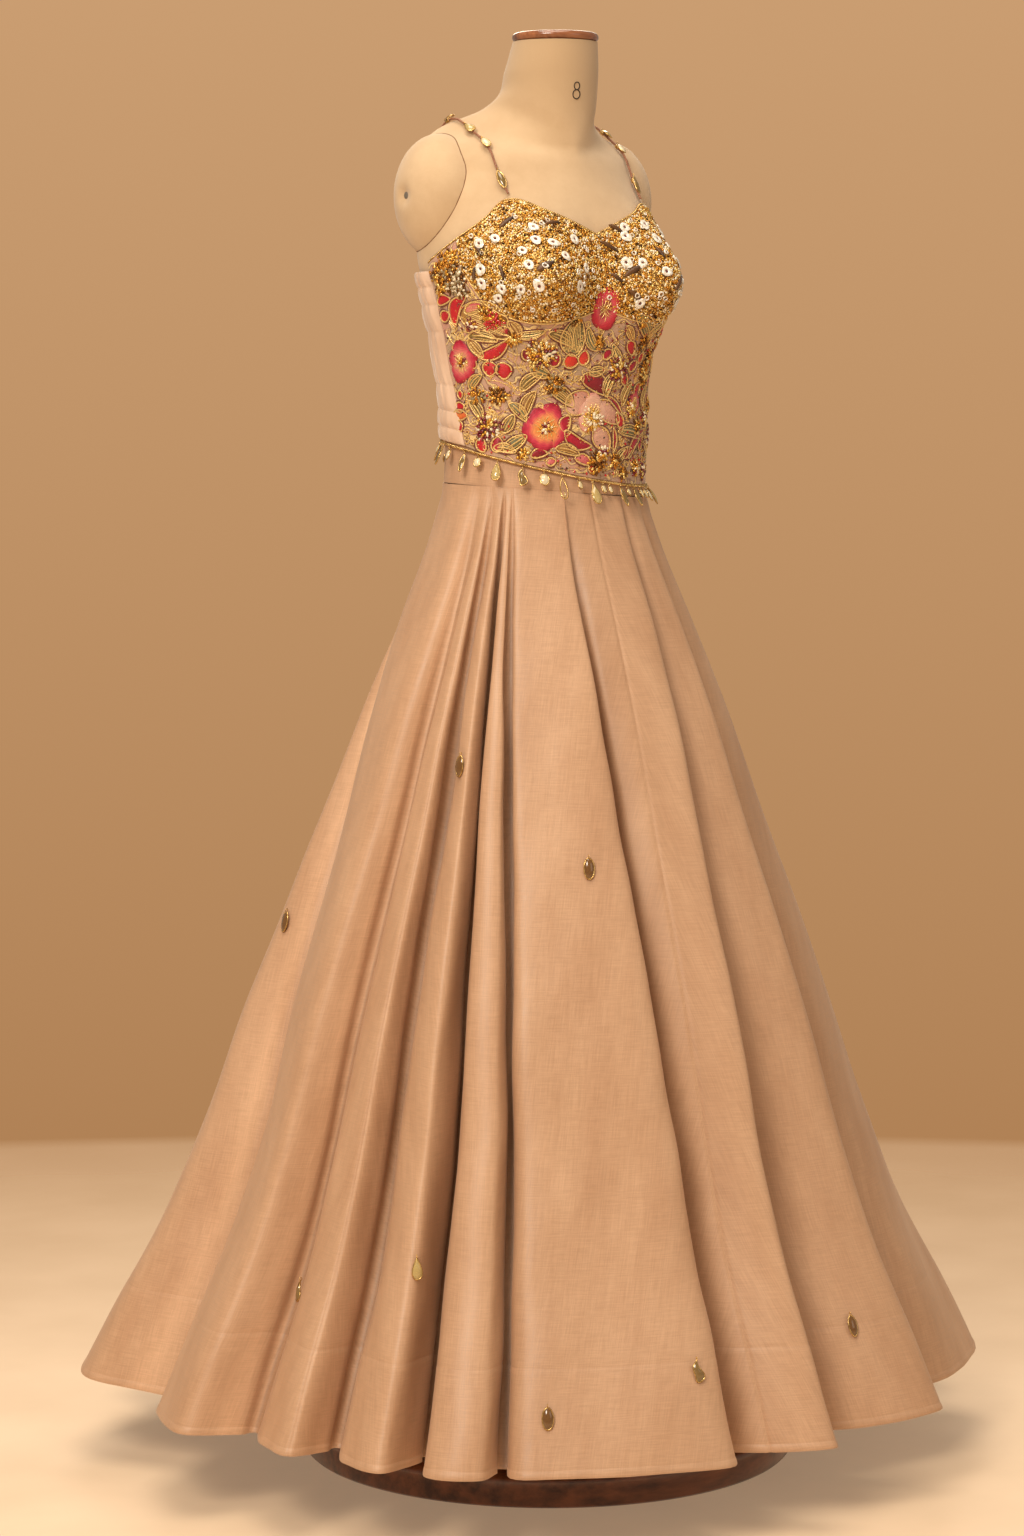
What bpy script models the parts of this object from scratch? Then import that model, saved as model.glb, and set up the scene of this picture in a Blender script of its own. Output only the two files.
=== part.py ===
"""Embroidered sweetheart bodice and flared skirt on a limbless dress form, in metres, +Z up.

The origin is the middle of the round base's underside. The form faces -Y, and +X is its own left.
A turn angle is 0 at the front and grows toward +X, so -90 degrees is the form's right side.
"""

import math

import bmesh
import bpy
import numpy as np
from mathutils import Matrix, Vector
from mathutils.bvhtree import BVHTree

SEAM_GAP = 0.0003
CLOTH_WALL = 0.0016

# Stand
BASE_RADIUS, BASE_HEIGHT, BASE_ROUNDING = 0.270, 0.038, 0.012
POLE_RADIUS = 0.0145
CAP_RADIUS, CAP_TOP, CAP_ROUNDING, CAP_AT_Y = 0.0465, 1.5445, 0.0035, -0.012

# Dress form, section by section from the hips to the neck. A section's front and back may lie lower than
# its sides, by the two drops, where it slopes over the shoulders. A roundness of 2 is an ellipse.
FORM_COLUMNS = ("height", "half_width", "front", "middle", "back", "roundness", "drop_front", "drop_back")
FORM_SECTIONS = (
    (0.720, 0.132, -0.090, 0.008, 0.110, 2.0, 0.000, 0.000),
    (0.780, 0.145, -0.097, 0.010, 0.122, 2.0, 0.000, 0.000),
    (0.850, 0.148, -0.100, 0.012, 0.125, 2.0, 0.000, 0.000),
    (0.920, 0.140, -0.096, 0.010, 0.117, 2.0, 0.000, 0.000),
    (1.000, 0.122, -0.085, 0.008, 0.101, 2.0, 0.000, 0.000),
    (1.060, 0.113, -0.079, 0.008, 0.096, 2.0, 0.000, 0.000),
    (1.110, 0.112, -0.080, 0.009, 0.096, 2.0, 0.000, 0.000),
    (1.160, 0.117, -0.083, 0.010, 0.099, 2.0, 0.000, 0.000),
    (1.210, 0.124, -0.087, 0.013, 0.105, 2.0, 0.000, 0.000),
    (1.260, 0.132, -0.090, 0.021, 0.112, 2.0, 0.000, 0.000),
    (1.300, 0.138, -0.087, 0.030, 0.118, 2.0, 0.000, 0.000),
    (1.330, 0.138, -0.081, 0.036, 0.120, 2.0, 0.000, 0.000),
    (1.360, 0.135, -0.072, 0.042, 0.120, 2.0, 0.000, 0.000),
    (1.395, 0.132, -0.062, 0.050, 0.117, 1.8, 0.008, -0.003),
    (1.430, 0.124, -0.055, 0.054, 0.108, 1.6, 0.024, 0.002),
    (1.447, 0.098, -0.051, 0.056, 0.096, 1.5, 0.029, 0.006),
    (1.464, 0.0625, -0.051, 0.032, 0.078, 1.8, 0.032, 0.008),
    (1.478, 0.0535, -0.052, 0.008, 0.059, 2.0, 0.024, 0.009),
    (1.505, 0.0500, -0.056, -0.005, 0.047, 2.0, 0.004, 0.002),
    (1.535, 0.0455, -0.057, -0.012, 0.0345, 2.0, 0.000, 0.000),
)
FORM_ROWS = (
    0.720, 0.780, 0.850, 0.920, 0.985, 1.045, 1.110, 1.165, 1.205, 1.228, 1.245, 1.262, 1.280, 1.300,
    1.320, 1.340, 1.360, 1.385, 1.410, 1.430, 1.439, 1.447, 1.456, 1.464, 1.472, 1.485, 1.505, 1.535,
)
FORM_FRONT_STEP, FORM_BACK_STEP = 7.5, 15.0
FORM_TUCK, COVERED_TO, BARE_FROM = 0.0020, 1.265, 1.300
BUST_DEPTH, BUST_AT_X, BUST_AT_Z = 0.050, 0.076, 1.278
BUST_WIDTH, BUST_RISE, BUST_FALL = 0.047, 0.056, 0.046

# Shoulder caps: rounded lids on the form's armholes, with a dimple over the fixing screw
SHOULDER_AT, SHOULDER_REACH, SHOULDER_SEAT = (0.045, 1.370), 0.160, 0.0008
SHOULDER_RADII = (0.048, 0.052, 0.067)
DIMPLE_DEPTH, DIMPLE_RADIUS = 0.005, 0.010

# Bodice edges, as turn angle and height. The cup line is the seam under the cups, up to the neckline.
SIDE_SEAM_TOP, SIDE_SEAM_HEM, SIDE_SEAM_BEND = 88.0, 79.0, (1.100, 1.180)
CUP_END, CUP_SEAM_GAP = 68.0, 0.35
CUP_TURNS = np.linspace(3.8, CUP_END, 11)
NECKLINE = ((0, 1.326), (12, 1.338), (25, 1.350), (37, 1.361), (42, 1.360), (52, 1.342), (69, 1.319), (88, 1.297))
CUP_LINE = (
    (0, 1.250), (10, 1.243), (20, 1.238), (33, 1.235), (45, 1.238), (55, 1.247), (62, 1.260), (68, 1.290),
)
BACK_TOP = 1.290
HEM_HEIGHT, HEM_FRONT_DROP, HEM_LEFT_DROP = 1.087, 0.018, 0.018
CUP_AWAY, BODICE_AWAY, HEM_AWAY = 0.0022, 0.0022, 0.0050
EASE_FROM, EASE_TO = 1.120, 1.160
PUFF_COUNT, STEPS_TO_PUFF, PUFF_RAISE, BACK_SEAM_GAP = 7, 3, 0.0045, 0.25
# A puff's roundness, and how it flattens beside the side seams: the share of the width, and what is left there
PUFF_POWER, PUFF_FADE, PUFF_LEFT = 0.7, 0.06, 0.35

# Waistband
BAND_SEAM_HEIGHT, BAND_FRONT_DROP, BAND_LEFT_DROP, BAND_HEIGHT = 1.056, 0.0036, 0.0072, 0.052
BAND_TOP_AWAY, BAND_LOW_AWAY = 0.0010, 0.0024

# Trims
BINDING_RADIUS, BINDING_GAP = 0.0012, 0.0008
BRAID_RADIUS, BRAID_AWAY = 0.0015, 0.0068
DROP_COUNT, DROP_LENGTH, DROP_WIDTH, DROP_THICKNESS, DROP_TILT = 24, 0.020, 0.0080, 0.0030, 0.0090
STRAP_RADIUS, STRAP_GAP = 0.0016, 0.0020
STRAP_POINTS, STRAP_AT_X, STRAP_BOW = 22, 0.0861, 0.003
STRAP_HUB, STRAP_REACH, STRAP_SWING = (0.035, 1.300), 0.4, (-50.0, 89.0)
# Each charm threaded on a strap: the route point that it sits on, and its length
STRAP_CHARMS = ((2, 0.018), (5, 0.013), (7, 0.014), (9, 0.012))
STRAP_CHARM_WIDTH, STRAP_CHARM_THICKNESS, STRAP_CHARM_RAISE = 0.008, 0.005, 0.0022
STRAP_CHARM_OUT = (0.0, -0.3, 1.0)
# Drops sewn on the skirt: the turn angle and the height of each, right round
CHARM_LENGTH, CHARM_WIDTH, CHARM_THICKNESS, CHARM_GAP = 0.022, 0.011, 0.0045, 0.0008
SKIRT_CHARMS = (
    (-61.4, 0.771), (-25.7, 0.668), (-120.1, 0.585), (-78.0, 0.231), (-56.4, 0.278), (-36.0, 0.145),
    (-15.7, 0.181), (18.3, 0.185), (10.3, 0.147), (48.0, 0.620), (76.0, 0.300), (101.0, 0.700),
    (121.0, 0.180), (150.0, 0.520), (172.0, 0.240), (-165.0, 0.660), (-142.0, 0.160),
)

# Skirt. Every fold starts at a valley and has a left and a right crown. Angles are those of the valley at
# the waist and at the hem; radii are at the hem; left and right say how far across the fold each crown is.
SKIRT_WALL = 0.0020
HEM_Z, HEM_LIFT, MEAN_HEM_RADIUS = 0.088, 0.10, 0.460
HEM_CENTRE = (-0.008, 0.010)
WAIST_CENTRE, WAIST_SECTION = (0.0, 0.0085), 1.060
FORM_CLEARANCE = 0.0048
FOLD_GROWTH, TURN_GROWTH = 0.9, 2.5
SKIRT_PROFILE = (
    (0.090, 0.495), (0.158, 0.461), (0.267, 0.402), (0.376, 0.357), (0.486, 0.320), (0.595, 0.280),
    (0.705, 0.239), (0.814, 0.2025), (0.923, 0.1625), (0.984, 0.140), (1.057, 0.1195),
)
FOLD_COLUMNS = ("waist", "hem", "valley", "left_crown", "right_crown", "left", "right")
FOLDS = (
    (-150, -138, 0.445, 0.490, 0.500, 0.34, 0.70),
    (-140, -106, 0.420, 0.462, 0.474, 0.26, 0.66),
    (-72, -81, 0.415, 0.446, 0.455, 0.30, 0.66),
    (-64.5, -66, 0.405, 0.468, 0.482, 0.32, 0.70),
    (-58.5, -52, 0.395, 0.490, 0.494, 0.26, 0.74),
    (-54, -40, 0.438, 0.488, 0.466, 0.12, 0.80),
    (-22, -9, 0.405, 0.452, 0.458, 0.26, 0.72),
    (24, 7, 0.385, 0.460, 0.466, 0.30, 0.72),
    (42, 32, 0.395, 0.482, 0.494, 0.30, 0.72),
    (60, 70, 0.430, 0.512, 0.510, 0.32, 0.68),
    (85, 92, 0.440, 0.505, 0.500, 0.34, 0.66),
    (105, 110, 0.430, 0.492, 0.496, 0.30, 0.70),
    (125, 129, 0.435, 0.502, 0.498, 0.34, 0.66),
    (145, 147, 0.425, 0.490, 0.486, 0.30, 0.66),
    (163, 166, 0.440, 0.500, 0.504, 0.32, 0.68),
    (181, 185, 0.430, 0.494, 0.490, 0.32, 0.70),
    (196, 203, 0.435, 0.504, 0.506, 0.32, 0.66),
)
STEPS_TO_LEFT, STEPS_ACROSS, STEPS_TO_VALLEY = 3, 2, 3
SKIRT_ROWS = (0.0, 0.03, 0.08, 0.15, 0.25, 0.36, 0.48, 0.60, 0.72, 0.84, 0.93, 1.0)
# Each gore starts at a control point of the rings: three to a fold, its valley, left and right crown.
GORES = (
    ("right_back", 1), ("right_front", 8), ("left_front", 19),
    ("left_side", 26), ("left_back", 33), ("centre_back", 43),
)

COLOURS = {
    "form_cloth": ((0.72, 0.52, 0.31), 0.85, 0.0),
    "cap_wood": ((0.23, 0.07, 0.025), 0.25, 0.0),
    "base_wood": ((0.07, 0.022, 0.01), 0.22, 0.0),
    "pole_metal": ((0.25, 0.22, 0.18), 0.35, 1.0),
    "cup_cloth": ((0.72, 0.46, 0.15), 0.35, 0.6),
    "front_net": ((0.62, 0.38, 0.24), 0.6, 0.0),
    "organza": ((0.78, 0.52, 0.36), 0.45, 0.0),
    "skirt_cloth": ((0.66, 0.42, 0.28), 0.5, 0.0),
    "gold": ((0.75, 0.5, 0.17), 0.3, 1.0),
}


def clear_scene():
    for item in list(bpy.data.objects):
        bpy.data.objects.remove(item, do_unlink=True)


def collection(name):
    made = bpy.data.collections.new(name)
    bpy.context.scene.collection.children.link(made)
    return made


def material(name):
    if name in bpy.data.materials:
        return bpy.data.materials[name]
    colour, roughness, metallic = COLOURS[name]
    made = bpy.data.materials.new(name)
    made.use_nodes = True
    shader = made.node_tree.nodes["Principled BSDF"]
    shader.inputs["Base Color"].default_value = (*colour, 1.0)
    shader.inputs["Roughness"].default_value = roughness
    shader.inputs["Metallic"].default_value = metallic
    return made


def add_object(name, data, into, finish=None):
    """An object of this mesh or curve, in this collection, with this material."""
    made = bpy.data.objects.new(name, data)
    into.objects.link(made)
    if finish:
        data.materials.append(material(finish))
    return made


def mesh_object(name, points, faces, into, finish, smooth_angle=40.0):
    """A closed mesh from points and faces, with its faces turned outward."""
    mesh = bpy.data.meshes.new(name)
    mesh.from_pydata(np.asarray(points).tolist(), [], [tuple(face) for face in faces])
    shape = bmesh.new()
    shape.from_mesh(mesh)
    bmesh.ops.recalc_face_normals(shape, faces=shape.faces)
    shape.to_mesh(mesh)
    shape.free()
    mesh.shade_smooth()
    mesh.set_sharp_from_angle(angle=math.radians(smooth_angle))
    return add_object(name, mesh, into, finish)


def strip(first, second):
    """Quads between two rows of point numbers of the same length."""
    return np.stack([first[:-1], first[1:], second[1:], second[:-1]], axis=-1).tolist()


def wall(name, outer, inner, into, finish, around=False):
    """A closed wall between two grids of points, rows by columns. around joins the last column to the first."""
    rows, columns = outer.shape[:2]
    numbers = np.arange(rows * columns).reshape(rows, columns)
    if around:
        numbers = np.hstack([numbers, numbers[:, :1]])
    inside = numbers + rows * columns
    faces = []
    for row in range(rows - 1):
        faces += strip(numbers[row], numbers[row + 1])
        faces += strip(inside[row + 1], inside[row])
    faces += strip(inside[0], numbers[0])
    faces += strip(numbers[-1], inside[-1])
    if not around:
        faces += strip(numbers[:, 0], inside[:, 0])
        faces += strip(inside[:, -1], numbers[:, -1])
    points = np.concatenate([outer.reshape(-1, 3), inner.reshape(-1, 3)])
    return mesh_object(name, points, faces, into, finish)


def turned(name, profile, steps, into, finish, at=(0.0, 0.0, 0.0)):
    """A turned shape: a profile of radius and height, from its top to its bottom, spun round Z."""
    mesh = bpy.data.meshes.new(name)
    points = [(radius, 0.0, height) for radius, height in profile]
    mesh.from_pydata(points, [(i, i + 1) for i in range(len(points) - 1)], [])
    made = add_object(name, mesh, into, finish)
    made.location = at
    spin = made.modifiers.new("spin", "SCREW")
    spin.steps = spin.render_steps = steps
    spin.use_merge_vertices = True
    spin.merge_threshold = 0.0001
    return made


def cord(name, points, radius, into, finish, closed=False):
    """A tube along these points."""
    curve = bpy.data.curves.new(name, "CURVE")
    curve.dimensions = "3D"
    curve.bevel_depth = radius
    curve.bevel_resolution = 0
    curve.use_fill_caps = not closed
    line = curve.splines.new("POLY")
    line.points.add(len(points) - 1)
    line.points.foreach_set("co", np.c_[points, np.ones(len(points))].ravel())
    line.use_cyclic_u = closed
    return add_object(name, curve, into, finish)


def as_mesh(source, into, finish):
    """The same shape as a mesh object with its caps welded, in place of the curve."""
    graph = bpy.context.evaluated_depsgraph_get()
    name = source.name
    mesh = bpy.data.meshes.new_from_object(source.evaluated_get(graph))
    bpy.data.objects.remove(source)
    shape = bmesh.new()
    shape.from_mesh(mesh)
    bmesh.ops.remove_doubles(shape, verts=shape.verts, dist=0.00001)
    shape.to_mesh(mesh)
    shape.free()
    mesh.materials.clear()
    return add_object(name, mesh, into, finish)


def bead(shape, middle, down, out, size):
    """Adds an egg-shaped bead: size is its length along down, its width and its thickness along out."""
    down, out = Vector(down).normalized(), Vector(out)
    out = (out - down * out.dot(down)).normalized()
    turn = Matrix((out.cross(down), out, down)).transposed().to_4x4()
    stretch = Matrix.Diagonal((size[1], size[2], size[0], 1.0))
    bmesh.ops.create_uvsphere(
        shape, u_segments=6, v_segments=4, radius=0.5, matrix=Matrix.Translation(middle) @ turn @ stretch
    )


def fuse_beads(target, shape, cutters):
    """Joins the beads onto the target as one body."""
    mesh = bpy.data.meshes.new(target.name + "_beads")
    shape.to_mesh(mesh)
    shape.free()
    beads = add_object(mesh.name, mesh, cutters)
    hide_cutter(beads)
    join = target.modifiers.new("beads", "BOOLEAN")
    join.operation = "UNION"
    join.object = beads


def smooth(at, known_at, known):
    """A smooth curve through the known values: cubic between two of them, with slopes from their neighbours."""
    known_at, known = np.asarray(known_at, float), np.asarray(known, float)
    slopes = np.gradient(known, known_at)
    at = np.clip(at, known_at[0], known_at[-1])
    low = np.clip(np.searchsorted(known_at, at, side="right") - 1, 0, len(known_at) - 2)
    width = known_at[low + 1] - known_at[low]
    t = (at - known_at[low]) / width
    ends = (1 + 2 * t) * (1 - t) ** 2 * known[low] + t * t * (3 - 2 * t) * known[low + 1]
    return ends + width * (t * (1 - t) ** 2 * slopes[low] + t * t * (t - 1) * slopes[low + 1])


def column(table, names, name):
    return np.array([row[names.index(name)] for row in table], float)


def form_points(turn, height):
    """The dress form's surface: a rounded section at each height, dropped at front and back, with the bust added."""
    heights = column(FORM_SECTIONS, FORM_COLUMNS, "height")
    at = {name: smooth(height, heights, column(FORM_SECTIONS, FORM_COLUMNS, name)) for name in FORM_COLUMNS[1:]}
    side, ahead = np.sin(turn), np.cos(turn)
    power = 2 / at["roundness"]
    depth = np.where(ahead > 0, at["middle"] - at["front"], at["back"] - at["middle"])
    x = at["half_width"] * np.sign(side) * np.abs(side) ** power
    y = at["middle"] - depth * np.sign(ahead) * np.abs(ahead) ** power
    z = height - np.where(ahead > 0, at["drop_front"], at["drop_back"]) * ahead**2
    reach = np.where(z > BUST_AT_Z, BUST_RISE, BUST_FALL)
    bust = np.exp(-(((np.abs(x) - BUST_AT_X) / BUST_WIDTH) ** 2) - ((z - BUST_AT_Z) / reach) ** 2)
    bust = BUST_DEPTH * bust * np.clip(ahead, 0, 1) ** 0.5
    return np.stack([x + 0.2 * np.sign(x) * bust, y - bust, z], axis=-1)


def worn(turn, height, away):
    """Points that lie this far outside the dress form, along its surface's normal."""
    turn, height, away = np.broadcast_arrays(turn, height, away)
    small_turn, small_rise = 0.01, 0.001
    along = form_points(turn + small_turn, height) - form_points(turn - small_turn, height)
    up = form_points(turn, height + small_rise) - form_points(turn, height - small_rise)
    normal = np.cross(along, up)
    normal /= np.linalg.norm(normal, axis=-1, keepdims=True)
    return form_points(turn, height) + normal * away[..., None]


def hem_line(turn):
    return HEM_HEIGHT - HEM_FRONT_DROP * np.cos(turn) - HEM_LEFT_DROP * np.sin(turn)


def band_line(turn):
    return BAND_SEAM_HEIGHT - BAND_FRONT_DROP * np.cos(turn) - BAND_LEFT_DROP * np.sin(turn)


def neckline(turn):
    return smooth(np.degrees(np.abs(turn)), *zip(*NECKLINE))


def cup_line(turn):
    return smooth(np.degrees(np.abs(turn)), *zip(*CUP_LINE))


def side_seam(height):
    """The side seam's turn angle: forward of the form's side at the hem, and nearly at its side above."""
    low, high = SIDE_SEAM_BEND
    t = np.clip((height - low) / (high - low), 0, 1)
    return np.radians(SIDE_SEAM_HEM + (SIDE_SEAM_TOP - SIDE_SEAM_HEM) * t)


def ease(height):
    """How far the bodice stands off the form: further out near the hem, where it lies over the waistband."""
    t = np.clip((height - EASE_FROM) / (EASE_TO - EASE_FROM), 0, 1)
    return HEM_AWAY + (BODICE_AWAY - HEM_AWAY) * t * t * (3 - 2 * t)


def panel(turns, low, high, rows):
    """A panel's grid of turn angles and heights, between a low and a high edge over the same turns."""
    t = np.linspace(0, 1, rows)[:, None]
    return np.broadcast_to(turns, (rows, len(turns))), low + (high - low) * t


def make_stand(parts):
    edge = [(BASE_RADIUS - BASE_ROUNDING * (1 - math.sin(a)), BASE_HEIGHT - BASE_ROUNDING * (1 - math.cos(a)))
            for a in np.radians((0, 30, 60, 90))]
    foot = [(0.0, BASE_HEIGHT), *edge, (BASE_RADIUS, 0.003), (BASE_RADIUS - 0.003, 0.0), (0.0, 0.0)]
    turned("form_base", foot, 36, parts, "base_wood")
    low, high = BASE_HEIGHT + SEAM_GAP, FORM_SECTIONS[0][0] - SEAM_GAP
    rod = [(0.0, high), (POLE_RADIUS, high), (POLE_RADIUS, low), (0.0, low)]
    turned("form_pole", rod, 20, parts, "pole_metal")


def form_body(name, away, into):
    """The dress form from the hips to the neck's top as a solid, grown by this much. Where the bodice covers
    it, it is a little slimmer, so that its flat faces stay clear of the cloth."""
    turns = np.radians(np.concatenate([np.arange(-90, 90, FORM_FRONT_STEP), np.arange(90, 270, FORM_BACK_STEP)]))
    heights = np.array(FORM_ROWS)[:, None]
    covered = np.clip((BARE_FROM - heights) / (BARE_FROM - COVERED_TO), 0, 1)
    rings = worn(turns[None, :], heights, away - FORM_TUCK * covered)
    rows, columns = rings.shape[:2]
    numbers = np.arange(rows * columns).reshape(rows, columns)
    looped = np.hstack([numbers, numbers[:, :1]])
    faces = [face for row in range(rows - 1) for face in strip(looped[row], looped[row + 1])]
    faces += [numbers[0].tolist(), numbers[-1].tolist()]
    return mesh_object(name, rings.reshape(-1, 3), faces, into, "form_cloth")


def hide_cutter(cutter):
    cutter.hide_render = True
    cutter.display_type = "WIRE"
    return cutter


def make_form(parts):
    top = FORM_SECTIONS[-1][0] + SEAM_GAP
    rim = [(CAP_RADIUS - CAP_ROUNDING * (1 - math.sin(a)), CAP_TOP - CAP_ROUNDING * (1 - math.cos(a)))
           for a in np.radians((0, 45, 90))]
    lid = [(0.0, CAP_TOP), *rim, (CAP_RADIUS, top + 0.003), (CAP_RADIUS - 0.002, top), (0.0, top)]
    turned("form_neck_cap", lid, 28, parts, "cap_wood", at=(0.0, CAP_AT_Y, 0.0))
    return form_body("form_torso", 0.0, parts)


def ball(name, middle, radii, segments, into, finish):
    """An ellipsoid with its poles along X."""
    shape = bmesh.new()
    turn = Matrix.Rotation(math.pi / 2, 4, "Y")
    place = Matrix.Translation(middle) @ Matrix.Diagonal((*radii, 1.0)) @ turn
    bmesh.ops.create_uvsphere(shape, u_segments=segments, v_segments=segments // 2, radius=1.0, matrix=place)
    mesh = bpy.data.meshes.new(name)
    shape.to_mesh(mesh)
    shape.free()
    mesh.shade_smooth()
    return add_object(name, mesh, into, finish)


def make_shoulder(name, side, form_cutter, parts, cutters):
    """A domed lid over the form's armhole: an ellipsoid cut to the form's flank, with a dimple in its middle."""
    middle = (side * (SHOULDER_REACH - SHOULDER_RADII[0]), *SHOULDER_AT)
    lid = ball(name, middle, SHOULDER_RADII, 18, parts, "form_cloth")
    tip = (side * (SHOULDER_REACH + DIMPLE_RADIUS - DIMPLE_DEPTH), *SHOULDER_AT)
    dimple = hide_cutter(ball(name + "_dimple", tip, (DIMPLE_RADIUS,) * 3, 12, cutters, "form_cloth"))
    for cutter in (form_cutter, dimple):
        cut = lid.modifiers.new("cut", "BOOLEAN")
        cut.operation = "DIFFERENCE"
        cut.object = cutter


def make_cup(name, side, parts):
    turns = side * np.radians(np.concatenate([[CUP_SEAM_GAP], CUP_TURNS[:-1], [CUP_END - CUP_SEAM_GAP]]))
    turn, height = panel(turns, cup_line(turns) + SEAM_GAP, neckline(turns), 8)
    outer = worn(turn, height, CUP_AWAY + CLOTH_WALL)
    wall(name, outer, worn(turn, height, CUP_AWAY), parts, "cup_cloth")


def front_top(turn):
    """The front's upper edge: the seam under the cups, then the neckline beside them."""
    beside = np.degrees(np.abs(turn)) > CUP_END + 0.5
    return np.where(beside, neckline(turn), cup_line(turn) - SEAM_GAP)


def make_front(parts):
    half = np.concatenate([CUP_TURNS, [CUP_END + 2, (CUP_END + SIDE_SEAM_TOP) / 2, SIDE_SEAM_TOP]])
    turns = np.radians(np.concatenate([-half[::-1], [0.0], half]))
    turn, height = panel(turns, hem_line(turns), front_top(turns), 8)
    inside, outside = math.radians(CUP_END), math.radians(SIDE_SEAM_TOP)
    beside = np.maximum(np.abs(turn) - inside, 0) / (outside - inside) * (side_seam(height) - inside)
    turn = np.sign(turn) * (np.minimum(np.abs(turn), inside) + beside)
    away = ease(height)
    wall("bodice_front", worn(turn, height, away + CLOTH_WALL), worn(turn, height, away), parts, "front_net")


def make_back(parts):
    """The gathered back: plain inside, with crosswise puffs raised between rows of gathering outside."""
    rows = PUFF_COUNT * STEPS_TO_PUFF + 1
    turns = np.radians(np.linspace(SIDE_SEAM_TOP, 360 - SIDE_SEAM_TOP, 14))
    turn, height = panel(turns, hem_line(turns), np.full(len(turns), BACK_TOP), rows)
    start = side_seam(height) + math.radians(BACK_SEAM_GAP)
    across = (turns - turns[0]) / (turns[-1] - turns[0])
    turn = start + across * (2 * math.pi - 2 * start)
    fade = np.clip(np.minimum(across, 1 - across) / PUFF_FADE + PUFF_LEFT, 0, 1)
    puff = np.abs(np.sin(np.pi * np.arange(rows)[:, None] / STEPS_TO_PUFF)) ** PUFF_POWER
    raised = PUFF_RAISE * puff * fade
    away = ease(height)
    outer = worn(turn, height, away + CLOTH_WALL + raised)
    wall("bodice_back", outer, worn(turn, height, away), parts, "organza")


def make_band(parts):
    turns = np.radians(np.arange(0, 360, 7.5))
    turn, height = panel(turns, band_line(turns), band_line(turns) + BAND_HEIGHT, 3)
    away = BAND_LOW_AWAY + (BAND_TOP_AWAY - BAND_LOW_AWAY) * np.linspace(0, 1, 3)[:, None]
    outer = worn(turn, height, away + CLOTH_WALL)
    wall("waistband", outer, worn(turn, height, away), parts, "skirt_cloth", around=True)


def make_hem_braid(parts, cutters):
    """A cord under the bodice's hem, with a row of drops that hang over the waistband."""
    turns = np.radians(np.arange(0, 360, 6))
    route = worn(turns, hem_line(turns) - BRAID_RADIUS - SEAM_GAP, BRAID_AWAY)
    braid = as_mesh(cord("bodice_hem_braid", route, BRAID_RADIUS, parts, "gold", closed=True), parts, "gold")
    shape = bmesh.new()
    for number in range(DROP_COUNT):
        turn = math.radians(360 / DROP_COUNT * (number + 0.5))
        top_height = hem_line(turn) - BRAID_RADIUS
        length = DROP_LENGTH * (1.0, 0.8, 1.15)[number % 3]
        top = worn(turn, top_height, BRAID_AWAY)
        tip = worn(turn, top_height - length, BRAID_AWAY + DROP_TILT)
        out = top - worn(turn, top_height, 0.0)
        bead(shape, Vector((top + tip) / 2), tip - top, out, (length + BRAID_RADIUS, DROP_WIDTH, DROP_THICKNESS))
    fuse_beads(braid, shape, cutters)


def make_binding(parts):
    turns = np.radians(np.linspace(-SIDE_SEAM_TOP, SIDE_SEAM_TOP, 41))
    route = worn(turns, neckline(turns) + BINDING_RADIUS + BINDING_GAP, CUP_AWAY + CLOTH_WALL / 2)
    cord("neckline_binding", route, BINDING_RADIUS, parts, "gold")


def strap_route(side, torso):
    """The strap's points: up the chest, over the shoulder and down to the back's top edge, just off the form."""
    shape = bmesh.new()
    shape.from_mesh(torso.data)
    tree = BVHTree.FromBMesh(shape)
    shape.free()
    away = STRAP_RADIUS + STRAP_GAP
    route = []
    for lean in np.linspace(0, 1, STRAP_POINTS):
        x = side * (STRAP_AT_X + STRAP_BOW * math.sin(math.pi * lean))
        swing = math.radians(STRAP_SWING[0] + (STRAP_SWING[1] - STRAP_SWING[0]) * lean)
        way = Vector((0.0, math.sin(swing), math.cos(swing)))
        start = Vector((x, *STRAP_HUB))
        hit, normal, _, _ = tree.ray_cast(start + way * STRAP_REACH, -way)
        route.append(hit + normal * away)
    return np.array(route)


def make_strap(name, side, torso, parts, cutters):
    route = strap_route(side, torso)
    strap = as_mesh(cord(name, route, STRAP_RADIUS, parts, "gold"), parts, "gold")
    shape = bmesh.new()
    for number, length in STRAP_CHARMS:
        middle, along = Vector(route[number]), Vector(route[number + 1] - route[number - 1])
        out = Vector(STRAP_CHARM_OUT)
        size = (length, STRAP_CHARM_WIDTH, STRAP_CHARM_THICKNESS)
        bead(shape, middle + out * STRAP_CHARM_RAISE, along, out, size)
    fuse_beads(strap, shape, cutters)


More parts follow.
